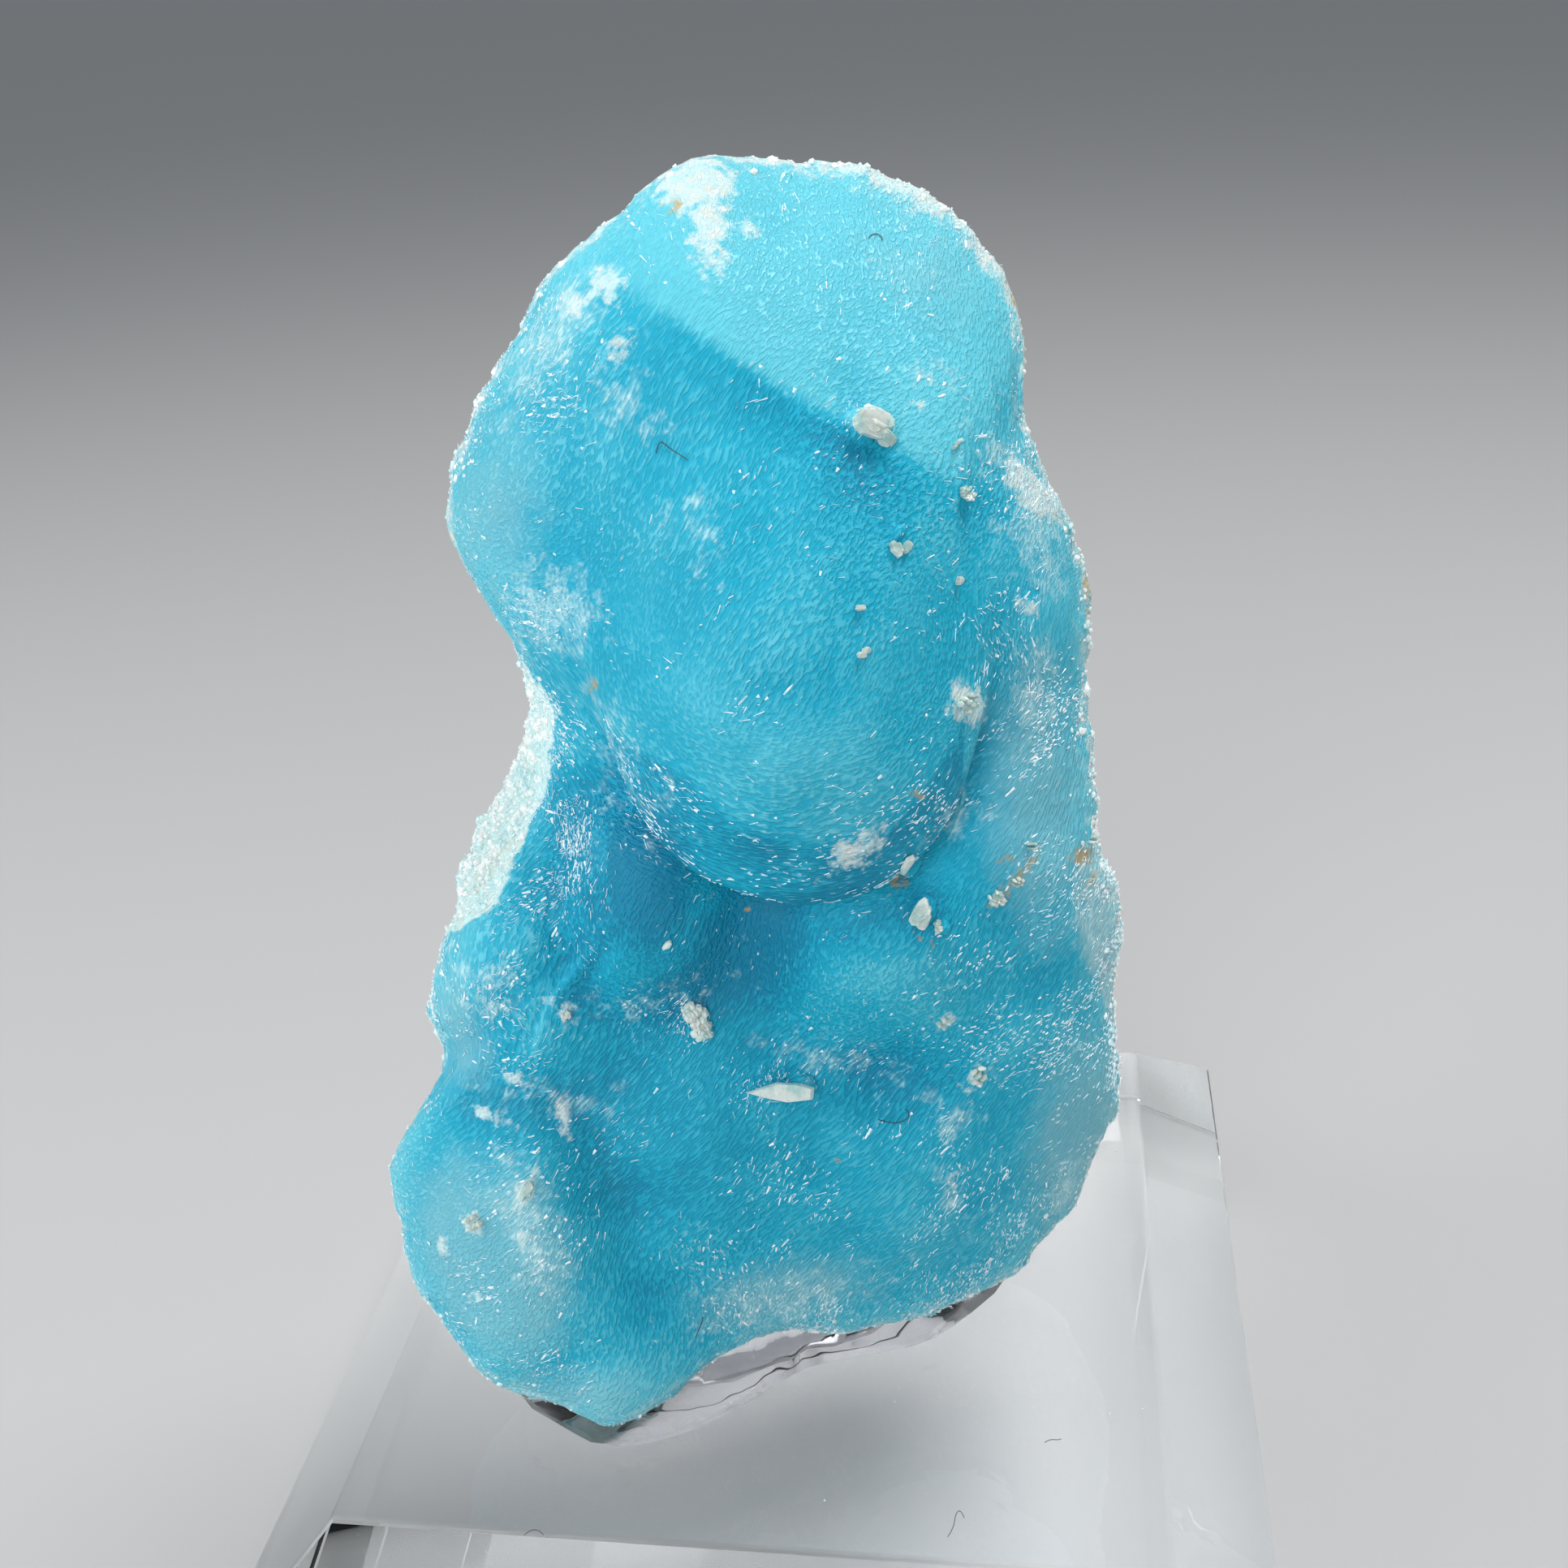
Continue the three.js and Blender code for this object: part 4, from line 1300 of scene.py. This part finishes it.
@dataclass
class Dust:
    """Stray fibres and specks on the stone and the block."""

    fibre_radius: float = 0.018 * MM
    specks: int = 46
    speck_reach: float = 19 * MM
    speck_size: tuple[float, float] = (0.02, 0.06)
    finish: MatteFinish = MatteFinish("dust_dark", (0.02, 0.03, 0.04, 1), (0.05, 0.06, 0.07, 1), 0.7, 0.8)
    speck_finish: MatteFinish = MatteFinish(
        "dust_pale", (0.75, 0.76, 0.78, 1), (0.9, 0.9, 0.92, 1), 0.7, 0.8)

    def build(self, skin: SkinMesh) -> list[bpy.types.Object]:
        """Builds the fibres and the specks.

        Args:
            skin: The fine skin, which some of the fibres lie on.

        Returns:
            The pieces.
        """
        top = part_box("acrylic_base")[1].z + self.fibre_radius
        bm = bmesh.new()
        for path in STONE_FIBRES:
            self.fibre(bm, [self.on_skin(skin, spot) for spot in path])
        for path in BLOCK_FIBRES:
            self.fibre(bm, [Vector((x * MM, y * MM, top)) for x, y in path])
        fibres = new_piece("dust_fibres", bm, self.finish.make())
        chance = np.random.default_rng(31)
        reach = self.speck_reach
        spots = np.column_stack([chance.uniform(-reach, reach, self.specks),
                                 chance.uniform(-reach, reach, self.specks),
                                 np.full(self.specks, top)])
        speck = bmesh.new()
        bmesh.ops.create_icosphere(speck, subdivisions=1, radius=1)
        size = chance.uniform(*self.speck_size, (self.specks, 1, 1)) * MM
        bm = scatter(speck, random_turns(chance, self.specks) * size, spots)
        return [fibres, new_piece("dust_specks", bm, self.speck_finish.make())]

    def on_skin(self, skin: SkinMesh, spot: tuple[float, float]) -> Vector:
        """Returns the place on the front of the skin at a face point."""
        front = np.flatnonzero(skin.face_normal[:, 2] > 0.1)
        i = front[np.argmin(np.hypot(*(skin.face_place[front, :2] - spot).T))]
        return Vector(skin.place[i] + skin.normal[i] * 2 * self.fibre_radius)

    def fibre(self, bm: bmesh.types.BMesh, path: list[Vector]) -> None:
        """Adds one thin fibre along a path.

        Args:
            bm: The bmesh that it is added to.
            path: The points that it runs through.
        """
        curve = bpy.data.curves.new("fibre", "CURVE")
        curve.dimensions = "3D"
        curve.bevel_depth = self.fibre_radius
        curve.bevel_resolution = 1
        curve.use_fill_caps = True
        spline = curve.splines.new("NURBS")
        spline.points.add(len(path) - 1)
        for point, place in zip(spline.points, path):
            point.co = (*place, 1)
        spline.use_endpoint_u = True
        spline.order_u = 4
        holder = bpy.data.objects.new("fibre", curve)
        bm.from_mesh(bpy.data.meshes.new_from_object(holder))
        bpy.data.objects.remove(holder)


# Fibres on the stone as (u, v) on the face, and on the block as (x, y), all in millimetres.
STONE_FIBRES = (
    ((-1.2, 44.2), (-1.0, 44.7), (-0.7, 44.6), (-0.5, 44.1), (-0.2, 43.8), (0.2, 43.6)),
    ((6.2, 14.6), (7.0, 14.4), (7.7, 14.6), (8.0, 14.9), (7.6, 15.1)),
    ((-3.1, 4.6), (-2.9, 5.0), (-2.7, 5.4), (-2.6, 5.6)),
    ((8.2, 53.2), (8.5, 53.4), (8.7, 53.3), (8.7, 53.0)),
)
BLOCK_FIBRES = (
    ((9.6, -18.4), (9.9, -17.8), (9.8, -17.2), (10.1, -16.7), (10.3, -17.3)),
    ((-9.2, -19.8), (-9.6, -19.4), (-9.9, -19.5), (-10.1, -19.9)),
    ((14.0, -12.6), (14.4, -12.2), (14.5, -12.5), (14.8, -12.3)),
)


@dataclass(frozen=True)
class Lamp:
    """A square soft lamp: its place and width in metres, its power in watts and its colour."""

    name: str
    place: tuple[float, float, float]
    size: float
    power: float
    colour: tuple[float, float, float]


@dataclass
class Studio:
    """Pale floor, soft lamps and the camera."""

    eye: tuple = (0.0137, -0.0741, 0.0835)
    yaw: float = 9.4
    pitch: float = 26.9
    roll: float = -4.07
    lens: float = 40.06
    sensor: float = 36
    nearest: float = 0.001
    furthest: float = 50
    lamps: tuple[Lamp, ...] = (
        Lamp("key", (0.12, 0.06, 0.34), 0.12, 0.76, (1.0, 0.985, 0.96)),
        Lamp("fill", (-0.04, -0.42, 0.25), 0.30, 1.05, (0.97, 0.985, 1.0)),
        Lamp("glow", (-0.32, -0.10, 0.20), 0.28, 0.75, (1.0, 1.0, 1.0)),
    )
    aim: tuple[float, float, float] = (0, -0.005, 0.04)
    sky_colour: tuple = (0.86, 0.90, 0.95, 1)
    sky_strength: float = 0.32
    floor_size: float = 8.0
    floor_finish: MatteFinish = MatteFinish(
        "studio_floor", (0.50, 0.505, 0.51, 1), (0.54, 0.545, 0.55, 1), 0.6, 0.002)

    def build(self) -> None:
        """Builds the floor, the lamps and the camera."""
        bm = bmesh.new()
        bmesh.ops.create_grid(bm, x_segments=1, y_segments=1, size=self.floor_size / 2,
                              matrix=Matrix.Translation((0, 0, -0.1 * MM)))
        mesh = bpy.data.meshes.new("floor")
        bm.to_mesh(mesh)
        bm.free()
        mesh.materials.append(self.floor_finish.make())
        floor = bpy.data.objects.new("floor", mesh)
        bpy.context.scene.collection.objects.link(floor)
        for lamp in self.lamps:
            self.light(lamp)
        world = bpy.data.worlds.new("studio")
        bpy.context.scene.world = world
        world.use_nodes = True
        sky = world.node_tree.nodes["Background"]
        sky.inputs["Color"].default_value = self.sky_colour
        sky.inputs["Strength"].default_value = self.sky_strength
        bpy.context.scene.view_settings.view_transform = "Standard"
        self.camera()

    def light(self, lamp: Lamp) -> None:
        """Adds a square soft lamp that looks at the specimen."""
        data = bpy.data.lights.new(lamp.name, "AREA")
        data.shape = "SQUARE"
        data.size = lamp.size
        data.energy = lamp.power
        data.color = lamp.colour
        holder = bpy.data.objects.new(lamp.name, data)
        holder.location = lamp.place
        aim = Vector(self.aim) - Vector(lamp.place)
        holder.rotation_euler = aim.to_track_quat("-Z", "Y").to_euler()
        bpy.context.scene.collection.objects.link(holder)

    def camera(self) -> None:
        """Adds the camera at the photograph's viewing angle."""
        yaw, pitch, roll = (math.radians(a) for a in (self.yaw, self.pitch, self.roll))
        ahead = Vector((-math.sin(yaw) * math.cos(pitch), math.cos(yaw) * math.cos(pitch), -math.sin(pitch)))
        right = Vector((math.cos(yaw), math.sin(yaw), 0))
        up = right.cross(ahead)
        turned_right = right * math.cos(roll) + up * math.sin(roll)
        turned_up = up * math.cos(roll) - right * math.sin(roll)
        data = bpy.data.cameras.new("camera")
        data.lens = self.lens
        data.sensor_width = self.sensor
        data.clip_start = self.nearest
        data.clip_end = self.furthest
        camera = bpy.data.objects.new("camera", data)
        axes = Matrix((turned_right, turned_up, -ahead)).transposed()
        camera.matrix_world = Matrix.Translation(self.eye) @ axes.to_4x4()
        bpy.context.scene.collection.objects.link(camera)
        bpy.context.scene.camera = camera


def main() -> None:
    """Builds every piece round the CAD frame and writes how large the result is."""
    logging.basicConfig(level=logging.INFO, format="%(message)s")
    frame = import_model()
    build_ragged_patch()
    build_crystal_strokes()
    build_fine_grit()
    nodes = frame["nodes"]
    specimen = Specimen()
    pieces = specimen.build(nodes)
    pieces += [Tack().build(nodes, nodes["hemimorphite"]), Block().build()]
    pieces += Dust().build(specimen.skin)
    for piece in pieces:
        LOG.info("%s: %d faces", piece.name, len(piece.data.polygons))
    Studio().build()


if __name__ == "__main__":
    main()
